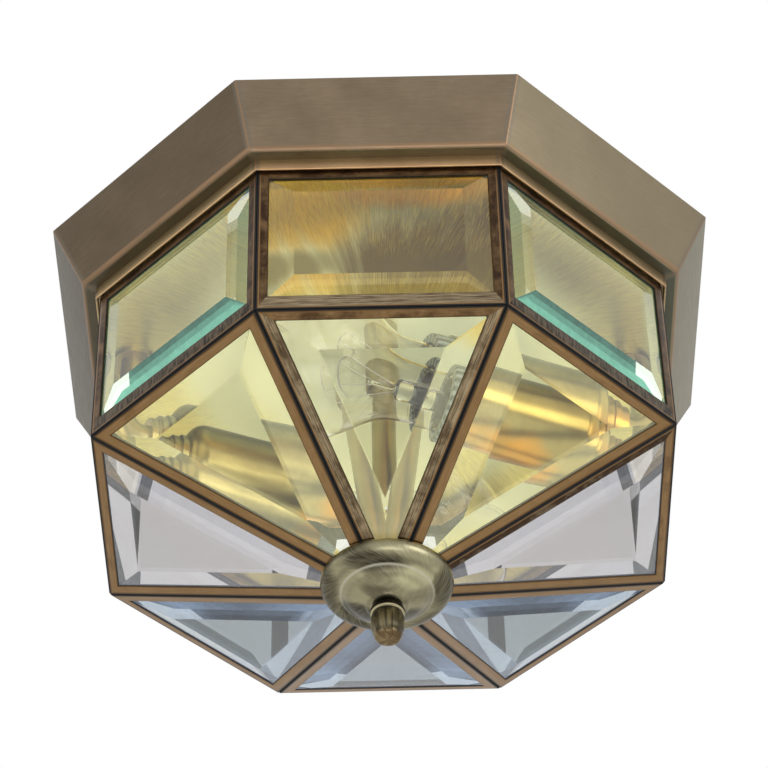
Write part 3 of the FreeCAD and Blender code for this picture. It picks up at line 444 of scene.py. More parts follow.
cupFinish = {
    "face": paint(142, 137, 110), "dark": paint(62, 55, 41), "bright": paint(200, 196, 170), "roughness": 0.3,
    # the strokes' sweep round the stem, radius, slope and fineness; the upright streaks of painted reflection: height,
    # size and strength
    "strokes": (55.0, 0.028, 0.06, 3400.0), "upright": (9.0, 2.6, 0.85), "lines": 1500.0, "bump": (0.08, 0.1 * mm),
    "patches": (0.5, 0.68, 0.5), "patchSize": 40.0, "reflectedStreaks": (0.9, 1.0), "fine": (0.44, 0.7, 0.26),
    # a painted highlight along the top of the rim: its height and strength
    "rimHighlightHeight": 0.5 * mm, "rimHighlightShare": 0.7,
    # how far the strokes fray the patches and the ovals of painted light and shade, and make it smoother or rougher
    "fray": (0.22, 0.25), "uneven": (-0.05, 0.12),
    # rings of painted highlight and shade on the cup's step and round the knob: radius, half width, colour, strength;
    # they show towards the front
    "ringFront": (15.0 * mm, -12.0 * mm, 0.15, 1.0),
    "rings": [(24.2 * mm, 2.6 * mm, paint(84, 79, 62), 0.5), (20.7 * mm, 1.0 * mm, paint(184, 180, 166), 0.7),
              (17.6 * mm, 2.0 * mm, paint(112, 106, 84), 0.4), (8.6 * mm, 1.6 * mm, paint(60, 52, 38), 0.6)],
    # ovals of painted shade, and one of painted highlight
    "paintedLightPatches": [((14, -13), 12, 6, 0.3, paint(186, 182, 146), 0.6), ((-7, -22), 17, 6.5, 0.12, paint(44, 38, 28), 1.0),
               ((26, -2), 7, 16, 0.1, paint(52, 46, 34), 0.9), ((-13, 8), 9, 9, 0.5, paint(38, 33, 24), 1.0),
               ((10, 9), 7, 7, -0.6, paint(44, 38, 28), 0.9), ((-28, 2), 7, 24, 0.0, paint(58, 52, 40), 0.9),
               ((19, 22), 18, 8, -0.7, paint(60, 55, 43), 0.9), ((-16, 24), 20, 9, 0.6, paint(50, 45, 34), 0.95),
               ((-4, -9), 9, 4, 0.2, paint(70, 64, 48), 0.85)],
}
knobFinish = dict(
    cupFinish, face=paint(104, 95, 72), dark=paint(24, 18, 14), bright=paint(200, 190, 154),
    patches=(0.44, 0.58, 0.9), patchSize=110.0, reflectedStreaks=(0.5, 0.6), fine=(0.45, 0.7, 0.3), rimHighlightHeight=0.0,
    # the amber on the tip is a painted highlight; the dark at the neck is painted shade, and the line across it a
    # painted highlight on the ring
    rings=[], paintedLightPatches=[], amberTipHighlight=paint(170, 122, 66), tip=(-198.6 * mm, -196.2 * mm, 0.14),
    collar=(-186.0 * mm, -185.6 * mm, 0.0, 0.95), collarLine=(-184.5 * mm, 0.5 * mm, 0.66))


def makeAntiqueBrass(name, look, top):  # dark patina in soft patches, upright streaks of painted reflection, painted light and shade in ovals and rings, a painted highlight on the rim, on the knob a painted highlight on the tip and painted shade and highlight at the neck, and short curved brush strokes
    material, surface, _ = newMaterial(name, metallic=1.0, roughness=look["roughness"])
    place = objectPlace()
    x, y, z = axesOf(place)
    turned = useGroup(turnedLines, {"Place": place, "Fineness": look["lines"], "Clouds": look["patchSize"]})
    reach, clouds = turned["Reach"], turned["Clouds"]
    angle = calc("ARCTAN2", y, x)
    sweep, around, slope, fineness = look["strokes"]
    swept = reach * sweep + angle
    strokes = noise(joinAxes(calc("COSINE", swept) * around, calc("SINE", swept) * around, reach * slope), fineness)
    frayPatches, frayLightPatches = look["fray"]
    upright, size, share = look["upright"]
    # upright streaks of painted reflection
    bands = noise(joinAxes(calc("COSINE", angle), calc("SINE", angle), z * upright), size, 1.0)
    low, high, depth = look["patches"]
    mark = (strokes - 0.5) * frayPatches + clouds
    dark = calc("MAXIMUM", fade(mark, low, high, 0.0, depth), spread(bands, *look["reflectedStreaks"], 0.0, share))
    colour = blend(dark, look["face"], look["dark"])
    # ovals of painted light and shade
    colour = paintLightPatches(x, y, (strokes - 0.5) * frayLightPatches + clouds, look["paintedLightPatches"], colour)
    # rings of painted highlight and shade
    for radius, width, paintedRingColour, strength in look["rings"]:
        ring = fade(abs(reach - radius), 0.0, width, strength) * spread(y, *look["ringFront"])
        colour = blend(ring, colour, paintedRingColour)
    low, high, depth = look["fine"]
    colour = blend(spread(strokes, low, high, 0.0, depth), colour, look["bright"])
    # a painted highlight along the rim
    if look["rimHighlightHeight"]:
        rim = spread(z, top - look["rimHighlightHeight"] * 2, top - look["rimHighlightHeight"]) * look["rimHighlightShare"]
        colour = blend(rim, colour, look["bright"])
    # on the knob: a painted highlight on the tip, painted shade at the neck and a painted highlight on the ring
    if "collar" in look:
        height, width, strength = look["collarLine"]
        colour = blend(fade(z, *look["tip"]), colour, look["amberTipHighlight"])
        colour = blend(spread(z, *look["collar"]), colour, look["dark"])
        colour = blend(fade(abs(z - height), width * lineCore, width, strength), colour, look["bright"])
    rough = spread(strokes, *noiseRange, *(look["roughness"] + change for change in look["uneven"]))
    feed(surface, {"Base Color": colour, "Roughness": rough})
    addBump(surface, strokes, *look["bump"])
    return material


threadFinish = {
    "roughness": 0.32, "grooveShade": 0.7, "clouds": 120.0, "clouding": (0.4, 0.7, 0.0, 0.3), "dark": 0.45,
    "bump": (0.6, 0.3 * mm),
}


def makeThreadedSteel(name, colour, pitch):  # a running thread, with painted shade in its grooves
    look = threadFinish
    material, surface, _ = newMaterial(name, metallic=1.0, roughness=look["roughness"])
    place = objectPlace()
    x, y, z = axesOf(place)
    ridge = calc("SINE", z * (2 * pi / pitch) - calc("ARCTAN2", y, x))
    # painted shade in the grooves
    tone = spread(ridge, -1.0, 1.0, look["grooveShade"], 0.0) + spread(noise(place, look["clouds"]), *look["clouding"])
    feed(surface, {"Base Color": blend(tone, colour, darker(colour, look["dark"]))})
    addBump(surface, ridge, *look["bump"])
    return material


contactFinish = {
    "glass": (paint(30, 28, 34), paint(54, 48, 58)), "solder": (paint(186, 184, 180), paint(120, 118, 114)),
    "button": (28.9 * mm, 29.1 * mm), "clouds": 500.0, "roughness": (0.2, 0.42),
}


def makeContact(name, axis):  # black glass insulator with the solder button on its end
    look = contactFinish
    material, surface, _ = newMaterial(name, roughness=0.25)
    place = objectPlace(axis)
    clouds = noise(place, look["clouds"])
    button = spread(abs(axesOf(place)[2]), *look["button"])
    colour = blend(button, blend(clouds, *look["glass"]), blend(clouds, *look["solder"]))
    rough = spread(clouds, *noiseRange, *look["roughness"])
    feed(surface, {"Base Color": colour, "Metallic": button, "Roughness": rough})
    return material


flutedFinish = {
    # the ridge and between colours are a painted highlight and painted shade on the flutes
    "between": paint(58, 68, 70), "ridge": paint(132, 146, 146), "worn": paint(60, 70, 66), "flutes": 24.0,
    "clouds": 140.0, "roughness": (0.3, 0.45), "ridgeFrom": (-0.6, 0.7), "wearing": (0.4, 0.7, 0.0, 0.4),
}


def makeFluted(name, axis):  # moulded body: a painted highlight on the ridges of its flutes, painted shade between them
    look = flutedFinish
    material, surface, _ = newMaterial(name, roughness=0.38)
    place = objectPlace(axis)
    x, y, _ = axesOf(place)
    wave = calc("COSINE", calc("ARCTAN2", y, x) * look["flutes"])
    clouds = noise(place, look["clouds"])
    # painted highlight on the ridges, painted shade between them
    colour = blend(spread(wave, *look["ridgeFrom"]), look["between"], look["ridge"])
    colour = blend(spread(clouds, *look["wearing"]), colour, look["worn"])
    feed(surface, {"Base Color": colour, "Roughness": spread(clouds, *noiseRange, *look["roughness"])})
    return material


satinFinish = {
    "brushed": {"Stretch": (1.0, 1.0, 0.3), "Fineness": 500.0}, "uneven": (-0.02, 0.03),
    "darkFrom": (0.35, 0.7), "darkShare": 0.5,
}


def makeSatinBrass(name, face, dark, roughness, clouds=60.0):  # plain drawn metal, clouded with its darker colour
    look = satinFinish
    material, surface, _ = newMaterial(name, metallic=1.0, roughness=roughness)
    satin = useGroup(brushing, {"Place": objectPlace(), **look["brushed"], "Clouds": clouds})
    rough = spread(satin["Lines"], *noiseRange, *(roughness + change for change in look["uneven"]))
    clouding = spread(satin["Clouds"], *look["darkFrom"]) * look["darkShare"]
    feed(surface, {"Base Color": blend(clouding, face, dark), "Roughness": rough})
    return material


plainFinish = {"clouds": 160.0, "dark": 0.75, "uneven": (-0.05, 0.05)}


def makePlain(name, colour, roughness, metallic=0.0):  # paint or plastic, slightly uneven
    look = plainFinish
    material, surface, _ = newMaterial(name, metallic=metallic, roughness=roughness)
    clouds = noise(objectPlace(), look["clouds"])
    rough = spread(clouds, *noiseRange, *(roughness + change for change in look["uneven"]))
    feed(surface, {"Base Color": blend(clouds, colour, darker(colour, look["dark"])), "Roughness": rough})
    return material


def makeGlass(name, tint, ior, gloss, seenThrough):  # lets light through, and what brass mirrors if seenThrough is 1
    material, surface, ending = newMaterial(
        name, roughness=0.0, IOR=ior, **{"Transmission Weight": 1.0, "Base Color": tint, "Specular IOR Level": gloss})
    path = outputsOf(addNode("LightPath"))
    outside = 1.0 - output("NewGeometry", "Backfacing")
    entering = calc("ADD", outside, path["Transparent Depth"], clamp=True)
    mirrored = path["Is Glossy Ray"] * path["Is Reflection Ray"] * entering
    through = calc("ADD", mirrored * seenThrough, path["Is Shadow Ray"], clamp=True)
    clear = output("BsdfTransparent", 0, {"Color": tint})
    feed(ending, {"Surface": output("MixShader", 0, {0: through, 1: Value(surface.outputs[0]), 2: clear})})
    return material, surface


paneInset = {"ridge": 3.9 * mm, "belt": 3.3 * mm}
paneLook = {
    "ior": 1.46, "lowerSoft": 0.2 * mm, "smear": (38.0, 3.0), "streak": (420.0, 2.0), "bevelStart": 0.99,
    # how much of the painted glow in the edges the smears and the streaks leave
    "smearLight": (0.7, 1.0), "streakLight": (0.35, 0.65, 0.85, 1.1),
}
# how wide the cut edges are, how much of the painted glow is in all but the lower one, the gloss, the glass's tint,
# darker towards the back as painted shade, and the painted glow in its edges, from the front panel (0) to the back one
# (1)
sideCut = {
    "bevel": 13.5 * mm, "elsewhere": 0.16, "gloss": 0.26,
    "tint": [(0.0, paint(252, 246, 222)), (0.1, paint(252, 246, 222)), (0.2, paint(238, 245, 240)),
             (1.0, paint(216, 218, 220))],
    "light": [(0.0, (0.1, 0.08, 0.02, 1)), (0.09, (0.1, 0.08, 0.02, 1)), (0.12, (0.075, 0.2, 0.15, 1)),
              (0.3, (0.075, 0.2, 0.15, 1)), (0.4, (0.05, 0.07, 0.08, 1)), (1.0, (0.05, 0.07, 0.08, 1))],
}
bottomCut = {
    "bevel": 14.5 * mm, "elsewhere": 1.0, "gloss": 0.14,
    "tint": [(0.0, paint(255, 255, 248)), (0.3, paint(255, 255, 248)), (0.45, paint(214, 208, 210)),
             (0.6, paint(212, 207, 209)), (0.75, paint(162, 171, 177)), (1.0, paint(158, 168, 175))],
    "light": [(0.0, (0.1, 0.1, 0.06, 1)), (0.25, (0.1, 0.1, 0.06, 1)), (0.4, (0.05, 0.055, 0.065, 1)),
              (0.6, (0.05, 0.055, 0.065, 1)), (0.75, (0.05, 0.065, 0.09, 1)), (1.0, (0.05, 0.065, 0.09, 1))],
}


def newEdgeGroup(name):  # puts out how far the nearest edge is, and how much nearer a side is than the lower edge
    return newGroup(name, [(label, "Float", None) for label in ("Across", "Out", "Height")],
                    {"Edge": "Float", "Lower": "Float"})


def makeSideEdges():
    group, (across, _, height), result = newEdgeGroup("sideEdges")
    sides, lower = paneHigh.x - abs(across), height - paneLow.z
    ends = calc("MINIMUM", lower, paneHigh.z - height)
    feed(result, {"Edge": calc("MINIMUM", sides, ends), "Lower": lower - sides})
    return group


def makeBottomEdges():  # measured along the slope
    group, (across, out, height), result = newEdgeGroup("bottomEdges")
    climb = height - (beltHeight - pyramidDrop)
    run = out * cos(pyramidSlope) + climb * sin(pyramidSlope)
    wide = run * (cageHalf / pyramidLength) - abs(across)
    sides = wide * cos(atan2(cageHalf, pyramidLength)) - paneInset["ridge"]
    belt = pyramidLength - paneInset["belt"] - run
    feed(result, {"Edge": calc("MINIMUM", sides, belt), "Lower": sides - belt})
    return group


def rampAlong(value, table):  # a colour ramp from (place, colour) pairs
    ramp = addNode("ValToRGB", {0: value})
    stops = ramp.color_ramp.elements
    for place, _ in table[1:-1]:
        stops.new(place)
    for stop, (place, colour) in zip(stops, table):
        stop.position, stop.color = place, colour
    return Value(ramp.outputs[0])


def makePaneGlass(name, edges, cut):  # painted shade, greyer towards the back, and a painted glow in the cut edges
    look, soft = paneLook, paneLook["lowerSoft"]
    material, surface = makeGlass(name, cut["tint"][0][1], look["ior"], cut["gloss"], 1.0)
    local = useGroup(panelPlaces, {"Place": objectPlace()})
    edge = useGroup(edges, {label: local[label] for label in ("Across", "Out", "Height")})
    # painted shade: the tint turns greyer towards the back panels
    toBack = calc("SINE", local["Panel"] * panelTurn) * 0.5 + 0.5
    # a painted glow in the cut edges
    level = spread(edge["Edge"], cut["bevel"] * look["bevelStart"], cut["bevel"], 1.0, 0.0)
    level *= spread(edge["Lower"], -soft, soft, 1.0, cut["elsewhere"])
    level *= spread(noise(local["Turned"], *look["smear"]), *noiseRange, *look["smearLight"])
    level *= spread(noise(local["Turned"], *look["streak"]), *look["streakLight"])
    light = blend(level, (0, 0, 0, 1), rampAlong(toBack, cut["light"]))
    feed(surface, {"Base Color": rampAlong(toBack, cut["tint"]), "Emission Color": light, "Emission Strength": 1.0})
    return material


socketAngle = atan2(socketWay[1], socketWay[0])
socketAxes = {side: (tuple(socketPlace * turn), (0, pi / 2, socketAngle))
              for side, turn in (("right", 1), ("left", (-1, -1, 1)))}


def forSides(make, name):  # one material for each socket, as each has its own axis
    return {side: make(side + name, axis) for side, axis in socketAxes.items()}


canopyBrass = makeSheetBrass("canopyBrass", canopyFinish, floorHeight)
ringBrass = makeSheetBrass("ringBrass", ringFinish, ringLow.z)
patinaBrass = makeSheetBrass("patinaBrass", patinaFinish, floorHeight - 1.0)  # so far down that no edge gets the painted highlight with rubbed wear
floorBrass = makeFloorBrass()
cameBrass = makeCameBrass()
finialBrass = makeAntiqueBrass("finialBrass", cupFinish, cupHigh.z)
knobBrass = makeAntiqueBrass("knobBrass", knobFinish, knobHigh.z)
socketBrass = forSides(makeCoverBrass, "SocketBrass")
stemBrass = makeSatinBrass("stemBrass", paint(178, 166, 124), paint(132, 120, 84), 0.3, 30.0)
shellBrass = makeSatinBrass("shellBrass", paint(214, 180, 120), paint(160, 128, 76), 0.28)
baseMetal = makeSatinBrass("baseMetal", paint(206, 200, 188), paint(160, 152, 140), 0.25)
zincSteel = makeSatinBrass("zincSteel", paint(190, 190, 188), paint(140, 140, 138), 0.35)
filamentMetal = makeSatinBrass("filamentMetal", paint(206, 204, 196), paint(160, 158, 150), 0.3)
threadedSteel = makeThreadedSteel("threadedSteel", paint(176, 172, 160), 0.94 * mm)
sideGlass = makePaneGlass("sideGlass", makeSideEdges(), sideCut)
bottomGlass = makePaneGlass("bottomGlass", makeBottomEdges(), bottomCut)
bulbGlass = makeGlass("bulbGlass", (0.99, 0.99, 0.99, 1.0), 1.3, 0.5, 0.0)[0]
phenolic = forSides(makeFluted, "Phenolic")
contacts = forSides(makeContact, "Contact")
groundGreen = makePlain("groundGreen", paint(40, 110, 60), 0.35, 0.6)
leadInsulation = {"white": makePlain("whiteLead", paint(228, 225, 214), 0.42),
                  "black": makePlain("blackLead", paint(44, 44, 46), 0.4),
                  "bare": makeSatinBrass("bareCopper", paint(214, 138, 96), paint(150, 84, 54), 0.3)}
connectorPlastic = makePlain("connectorPlastic", paint(214, 120, 40), 0.35)
print("materials made:", len(bpy.data.materials))

finishes = {
    "canopy_brass": canopyBrass, "came_brass": cameBrass, "pane_glass": sideGlass, "zinc_steel": zincSteel,
    "ground_green": groundGreen, "stem_brass": stemBrass, "socket_brass": stemBrass, "phenolic": phenolic["right"],
    "shell_brass": shellBrass, "base_metal": baseMetal, "base_insulator": contacts["right"], "bulb_glass": bulbGlass,
    "bulb_mount_glass": bulbGlass, "lead_insulation": leadInsulation["white"], "connector_plastic": connectorPlastic,
    "finial_brass": finialBrass,
}
ownFinish = {
    "seat_ring": ringBrass, "finial_knob": knobBrass, "stem_rod": threadedSteel, "left_bulb_contact": contacts["left"],
    "right_socket_cover": socketBrass["right"], "left_socket_cover": socketBrass["left"],
    **{"bottom_pane_" + str(number + 1): bottomGlass for number in range(panels)}}
for part in frame["record"]["subparts"]:
    for slot in nodes[part["node"]].material_slots:
        slot.material = ownFinish.get(part["node"], finishes[part["material_slot"]])


# Shapes: each is a grid of points worked out at once, and then a mesh

def linked(name, data):
    thing = bpy.data.objects.new(name, data)
    bpy.context.scene.collection.objects.link(thing)
    return thing


def addPiece(name, mesh, sharp, body, replaces):
    mesh.shade_smooth()
    mesh.set_sharp_from_angle(angle=radians(sharp))
    piece = linked(name, mesh)
    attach(piece, body)
    if replaces:
        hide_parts(*replaces)


def writeMesh(name, points, faces, material, body, slot, replaces=(), sharp=40.0, faceMaterials=None):
    mesh = bpy.data.meshes.new(name)
    mesh.from_pydata(points.tolist(), [], faces.tolist())
    work = bmesh.new()
    work.from_mesh(mesh)
    bmesh.ops.remove_doubles(work, verts=work.verts, dist=1e-6)
    bmesh.ops.dissolve_degenerate(work, edges=work.edges, dist=1e-7)
    bmesh.ops.recalc_face_normals(work, faces=work.faces)
    work.to_mesh(mesh)
    work.free()
    for finish in (material if isinstance(material, (list, tuple)) else [material]):
        mesh.materials.append(finish)
    if faceMaterials is not None:
        centres = np.empty(len(mesh.polygons) * 3)
        mesh.polygons.foreach_get("center", centres)
        mesh.polygons.foreach_set("material_index", faceMaterials(centres.reshape(-1, 3)).astype(np.int32))
    addPiece(name, mesh, sharp, body, replaces)


def gridFaces(rows, columns, closedRows=True, closedColumns=True):  # quads of a grid, going round in either direction
    a = np.arange(rows if closedRows else rows - 1)
    b = np.arange(columns if closedColumns else columns - 1)
    i, j = np.meshgrid(a, b, indexing="ij")
    nextI, nextJ = (i + 1) % rows, (j + 1) % columns
    corners = [i * columns + j, nextI * columns + j, nextI * columns + nextJ, i * columns + nextJ]
    return np.stack([corner.ravel() for corner in corners], 1)


def bend(start, corner, end, t):  # a smooth curve from start to end, drawn towards the corner
    return (1 - t) ** 2 * start + 2 * t * (1 - t) * corner + t ** 2 * end


def outlineWithArcs(corners, steps=6):  # corners are (r, z, radius); each corner with a radius becomes a smooth curve
    places = np.array([corner[:2] for corner in corners], float)
    before, after = np.roll(places, 1, 0) - places, np.roll(places, -1, 0) - places
    pieces = []
    for place, back, ahead, (_, _, radius) in zip(places, before, after, corners):
        if radius == 0:
            pieces.append(place[None])
            continue
        back, ahead = back / np.hypot(*back), ahead / np.hypot(*ahead)
        half = (pi - np.arccos(np.clip(back @ ahead, -1, 1))) / 2
        reach = radius * tan(half)
        t = np.linspace(0, 1, steps)[:, None]
        pieces.append(bend(place + back * reach, place, place + ahead * reach, t))
    return np.concatenate(pieces)


def turnedPoints(outline, steps, ripple=None, closed=True):  # r turned about Z; a ripple changes r by angle and height
    angle = np.linspace(0, 2 * pi, steps, endpoint=False)[:, None]
    r, z = outline[None, :, 0], outline[None, :, 1]
    if ripple is not None:
        r = r + ripple(angle, r, z)
    grid = np.stack([r * np.cos(angle), r * np.sin(angle), z + 0 * angle], -1)
    return grid.reshape(-1, 3), gridFaces(steps, len(outline), closedColumns=closed)


def throughPoints(points, steps=6):  # a smooth curve through points: each span blends the two parabolas that share it
    points = np.array(points, float)
    wide = np.concatenate([2 * points[:1] - points[1:2], points, 2 * points[-1:] - points[-2:-1]])
    a, b, c, d = wide[:-3, None], wide[1:-2, None], wide[2:-1, None], wide[3:, None]
    t = np.linspace(0, 1, steps, endpoint=False)[None, :, None]
    curve = 0.5 * (2 * b + (c - a) * t + (2 * a - 5 * b + 4 * c - d) * t ** 2 + (3 * b - a - 3 * c + d) * t ** 3)
    return np.concatenate([curve.reshape(-1, points.shape[1]), points[-1:]])


def roundedPath(corners, radius, steps=7):  # straight runs, each corner cut short by a smooth bend
    corners = np.array(corners, float)
    before, here, after = corners[:-2], corners[1:-1], corners[2:]
    runs = np.linalg.norm(np.diff(corners, axis=0), axis=1)
    reach = np.minimum(radius, 0.45 * np.minimum(runs[:-1], runs[1:]))[:, None]
    start = here + (before - here) / runs[:-1, None] * reach
    end = here + (after - here) / runs[1:, None] * reach
    t = np.linspace(0, 1, steps)[None, :, None]
    bends = bend(start[:, None], here[:, None], end[:, None], t)
    return np.concatenate([corners[:1], bends.reshape(-1, 3), corners[-1:]])


def tubePoints(path, radius, sides=10):  # a circle carried along a path, square to it, and closed at both ends
    ahead = np.gradient(path, axis=0)
    ahead /= np.linalg.norm(ahead, axis=1, keepdims=True)
    spare = np.where(np.abs(ahead[:, 2:]) < 0.9, [[0.0, 0.0, 1.0]], [[1.0, 0.0, 0.0]])
    first = np.cross(ahead, spare)
    first /= np.linalg.norm(first, axis=1, keepdims=True)
    second = np.cross(ahead, first)
    turn = np.linspace(0, 2 * pi, sides, endpoint=False)
    ring = first[:, None] * np.cos(turn)[None, :, None] + second[:, None] * np.sin(turn)[None, :, None]
    points = path[:, None] + ring * radius
    points = np.concatenate([np.repeat(path[:1, None], sides, 1), points, np.repeat(path[-1:, None], sides, 1)])
    return points.reshape(-1, 3), gridFaces(len(path) + 2, sides, closedRows=False)


def joined(pieces):  # several (points, faces) as one
    starts = np.cumsum([0] + [len(points) for points, _ in pieces[:-1]])
    faces = [faces + start for (_, faces), start in zip(pieces, starts)]
    return np.concatenate([points for points, _ in pieces]), np.concatenate(faces)


def octagonPoints(outline, cornerRound, steps=5):  # each outline point (apothem, z) goes round an octagon, rounded
    corner = panelTurn * (np.arange(panels) + 0.5)[:, None]
    swing = corner + np.linspace(-panelTurn / 2, panelTurn / 2, steps)[None]
    corner, swing = np.broadcast_to(corner, swing.shape).ravel()[:, None], swing.ravel()[:, None]
    apothem, z = outline[None, :, 0], outline[None, :, 1]
    softness = np.minimum(cornerRound, apothem * 0.5)
    reach = (apothem - softness) / cos(panelTurn / 2)
    x = reach * np.cos(corner) + softness * np.cos(swing)
    y = reach * np.sin(corner) + softness * np.sin(swing)
    grid = np.stack([x, y, z + 0 * x], -1)
    return grid.reshape(-1, 3), gridFaces(len(swing), len(outline))


canopyShape = {
    "floorApothem": 137.0 * mm, "sheet": 1.0 * mm, "edgeRound": 2.6 * mm, "cornerRound": 1.3 * mm,
    "rimRound": 0.35 * mm, "holeApothem": 5.2 * mm, "ringFoot": 0.4 * mm, "stripEdge": 1.2 * mm,
}


def makeCanopy():  # down the outer wall, over the floor to the hole, then back the same way one sheet further in
    shape = canopyShape
    sheet, hole, wide, foot = (shape[key] for key in ("sheet", "holeApothem", "floorApothem", "ringFoot"))
    top, low = canopyHigh.x, canopyLow.z
    lean = (wide - top) / low
    inside = sheet * np.hypot(1, lean)
    outline = outlineWithArcs([
        (top, 0, shape["rimRound"]), (wide, low, shape["edgeRound"]), (ringApothem - foot, low, 0), (hole, low, 0),
        (hole, low + sheet, 0), (wide + lean * sheet - inside, low + sheet, shape["edgeRound"] - sheet),
        (top - inside, 0, shape["rimRound"])])
    points, faces = octagonPoints(outline, shape["cornerRound"])

    def onFloor(centres):  # 0 on the wall, 1 inside the seat ring, 2 on the strip outside it
        ways = panelTurn * np.arange(panels)
        apothem = (centres[:, :1] * np.cos(ways) + centres[:, 1:2] * np.sin(ways)).max(1)
        under = centres[:, 2] < low + sheet / 2
        inRing, onStrip = apothem < ringApothem - foot, apothem < wide - shape["stripEdge"]
        return np.where(under & inRing, 1, np.where(under & onStrip, 2, 0))

    writeMesh("canopyPan", points, faces, [canopyBrass, floorBrass, patinaBrass], "canopy", "canopy_brass",
              ["canopy_shell"], faceMaterials=onFloor)


makeCanopy()
print("canopy made")


cameShape = {
    "depth": 3.4 * mm, "face": 5.4 * mm, "beltFace": 8.4 * mm, "ridgeFace": 6.0 * mm, "gap": 0.05 * mm,
    "round": 0.9 * mm, "lipRound": 0.45 * mm, "steps": 4, "lipTop": 0.8 * mm,
    "groove": 2.25 * mm, "grooveTop": 1.35 * mm, "grooveBottom": 2.85 * mm, "hubReach": 14.0 * mm, "sharp": 35.0,
    "railShift": 0.37,  # how far apart the rails lie in the pattern of their brushing
    # how dark each rail has gone: belt, right, top, left of the upright ones; tip, right, belt, left of the others
    "sidePatina": [(0.75, 0.38, 0.35, 0.38), (1.0, 0.38, 0.35, 0.38)] + [(0.8, 0.3, 0.3, 0.3)] * 5
    + [(1.0, 0.38, 0.35, 0.38)],
    "bottomPatina": [(0.5, 0.66, 0.3, 0.66), (0.5, 0.05, 0.1, 0.05), (0.5, 0.05, 0.15, 0.5)]
    + [(0.5, 0.05, 0.1, 0.05)] * 5,
}


def insetCorners(corners, distances):  # moves side j of a convex outline inwards by distances[k, j], for every k
    sides = np.roll(corners, -1, 0) - corners
    along = sides / np.linalg.norm(sides, axis=1, keepdims=True)
    inward = np.stack([-along[:, 1], along[:, 0]], 1)
    line = (inward * corners).sum(1) + distances
    before, lineBefore = np.roll(inward, 1, 0), np.roll(line, 1, 1)
    cross = before[:, 0] * inward[:, 1] - before[:, 1] * inward[:, 0]
    x = (lineBefore * inward[:, 1] - line * before[:, 1]) / cross
    y = (before[:, 0] * line - inward[:, 0] * lineBefore) / cross
    return np.stack([x, y], -1), along


def cameSection(face, mitre):  # the rail's section: distance from the seam and depth under the face, going round once
    gap, rounding, lip, lipTop, depth, groove, grooveTop, grooveBottom = (cameShape[key] for key in (
        "gap", "round", "lipRound", "lipTop", "depth", "groove", "grooveTop", "grooveBottom"))
    turn = np.linspace(0, pi / 2, cameShape["steps"] + 1)
    fall, draw = 1 - np.sin(turn), 1 - np.cos(turn)
    outer = np.stack([gap + rounding * (draw + fall * mitre), -rounding * fall], 1)
    inner = np.stack([face - lip * draw, -lip * fall], 1)[::-1]
    inside = [(face, -lipTop), (face - groove, -grooveTop), (face - groove, -grooveBottom), (face, -grooveBottom),
              (face, -depth), (gap + depth * mitre, -depth)]
    return np.concatenate([outer, inner, np.array(inside)])


def makeCame(name, outline, faces, mitres, patina, toPlace, replaced):  # four mitred rails: section points by corners
    sections = np.stack([cameSection(face, mitre) for face, mitre in zip(faces, mitres)], 1)
    rings, along = insetCorners(outline, sections[:, :, 0])
    points = toPlace(rings[..., 0], rings[..., 1], sections[:, 0, 1][:, None])
    rows, columns = rings.shape[:2]
    quads = gridFaces(rows, columns)
    side = np.tile(np.arange(columns), rows)[:, None] + 0 * quads
    row = quads // columns
    place = rings.reshape(-1, 2)[quads]
    alongRail = (place * along[side]).sum(-1) + side * cameShape["railShift"]
    fromSeam = sections[row, side, 0]
    fromPane = np.array(faces)[side] - fromSeam
    flat = points.reshape(-1, 3)
    a, b, c, d = (flat[quads[:, k]] for k in range(4))
    volume = (a * np.cross(b, c)).sum() + (a * np.cross(c, d)).sum()
    order = [0, 1, 2, 3] if volume > 0 else [3, 2, 1, 0]
    mesh = bpy.data.meshes.new(name)
    mesh.from_pydata(flat.tolist(), [], quads[:, order].tolist())
    uv = mesh.uv_layers.new(name="rail")
    uv.data.foreach_set("uv", np.stack([alongRail, fromSeam], -1)[:, order].ravel())
    for label, values in (("fromPane", fromPane), ("patina", np.array(patina, float)[side])):
        layer = mesh.attributes.new(label, "FLOAT", "CORNER")
        layer.data.foreach_set("value", values[:, order].ravel())
    mesh.materials.append(cameBrass)
    addPiece(name, mesh, cameShape["sharp"], "cage", [replaced])


def makeCames():
    half, slope, length = cageHalf, pyramidSlope, pyramidLength
    face, belt, ridge, start = (cameShape[key] for key in ("face", "beltFace", "ridgeFace", "hubReach"))
    tip, point = start * half / length, beltHeight - pyramidDrop
    between = np.arccos(sin(slope) ** 2 * cos(panelTurn) + cos(slope) ** 2)
    beltMitre, seamMitre, ridgeMitre = tan((pi / 2 - slope) / 2), tan(panelTurn / 2), tan(between / 2)
    upright = np.array([(-half, beltHeight), (half, beltHeight), (half, cageTop), (-half, cageTop)])
    sloping = np.array([(-tip, start), (tip, start), (half, length), (-half, length)])
    for number in range(panels):
        turn, label = panelTurn * number - pi / 2, str(number + 1)

        def turned(out, across, height, turn=turn):
            return np.stack([out * cos(turn) - across * sin(turn), out * sin(turn) + across * cos(turn), height], -1)

        def sidePlace(u, v, w):  # u across, v up, w outwards
            return turned(cageApothem + w + 0 * u, u, v + 0 * w)

        def bottomPlace(u, v, w):  # v runs from the pyramid's point to the belt
            return turned(v * cos(slope) + w * sin(slope), u + 0 * w, point + v * sin(slope) - w * cos(slope))

        makeCame("sideCame" + label, upright, [belt, face, face, face], [beltMitre, seamMitre, 0, seamMitre],
                 cameShape["sidePatina"][number], sidePlace, "side_came_" + label)
        makeCame("bottomCame" + label, sloping, [face, ridge, face, ridge], [0, ridgeMitre, beltMitre, ridgeMitre],
                 cameShape["bottomPatina"][number], bottomPlace, "bottom_came_" + label)


makeCames()
print("cames made")


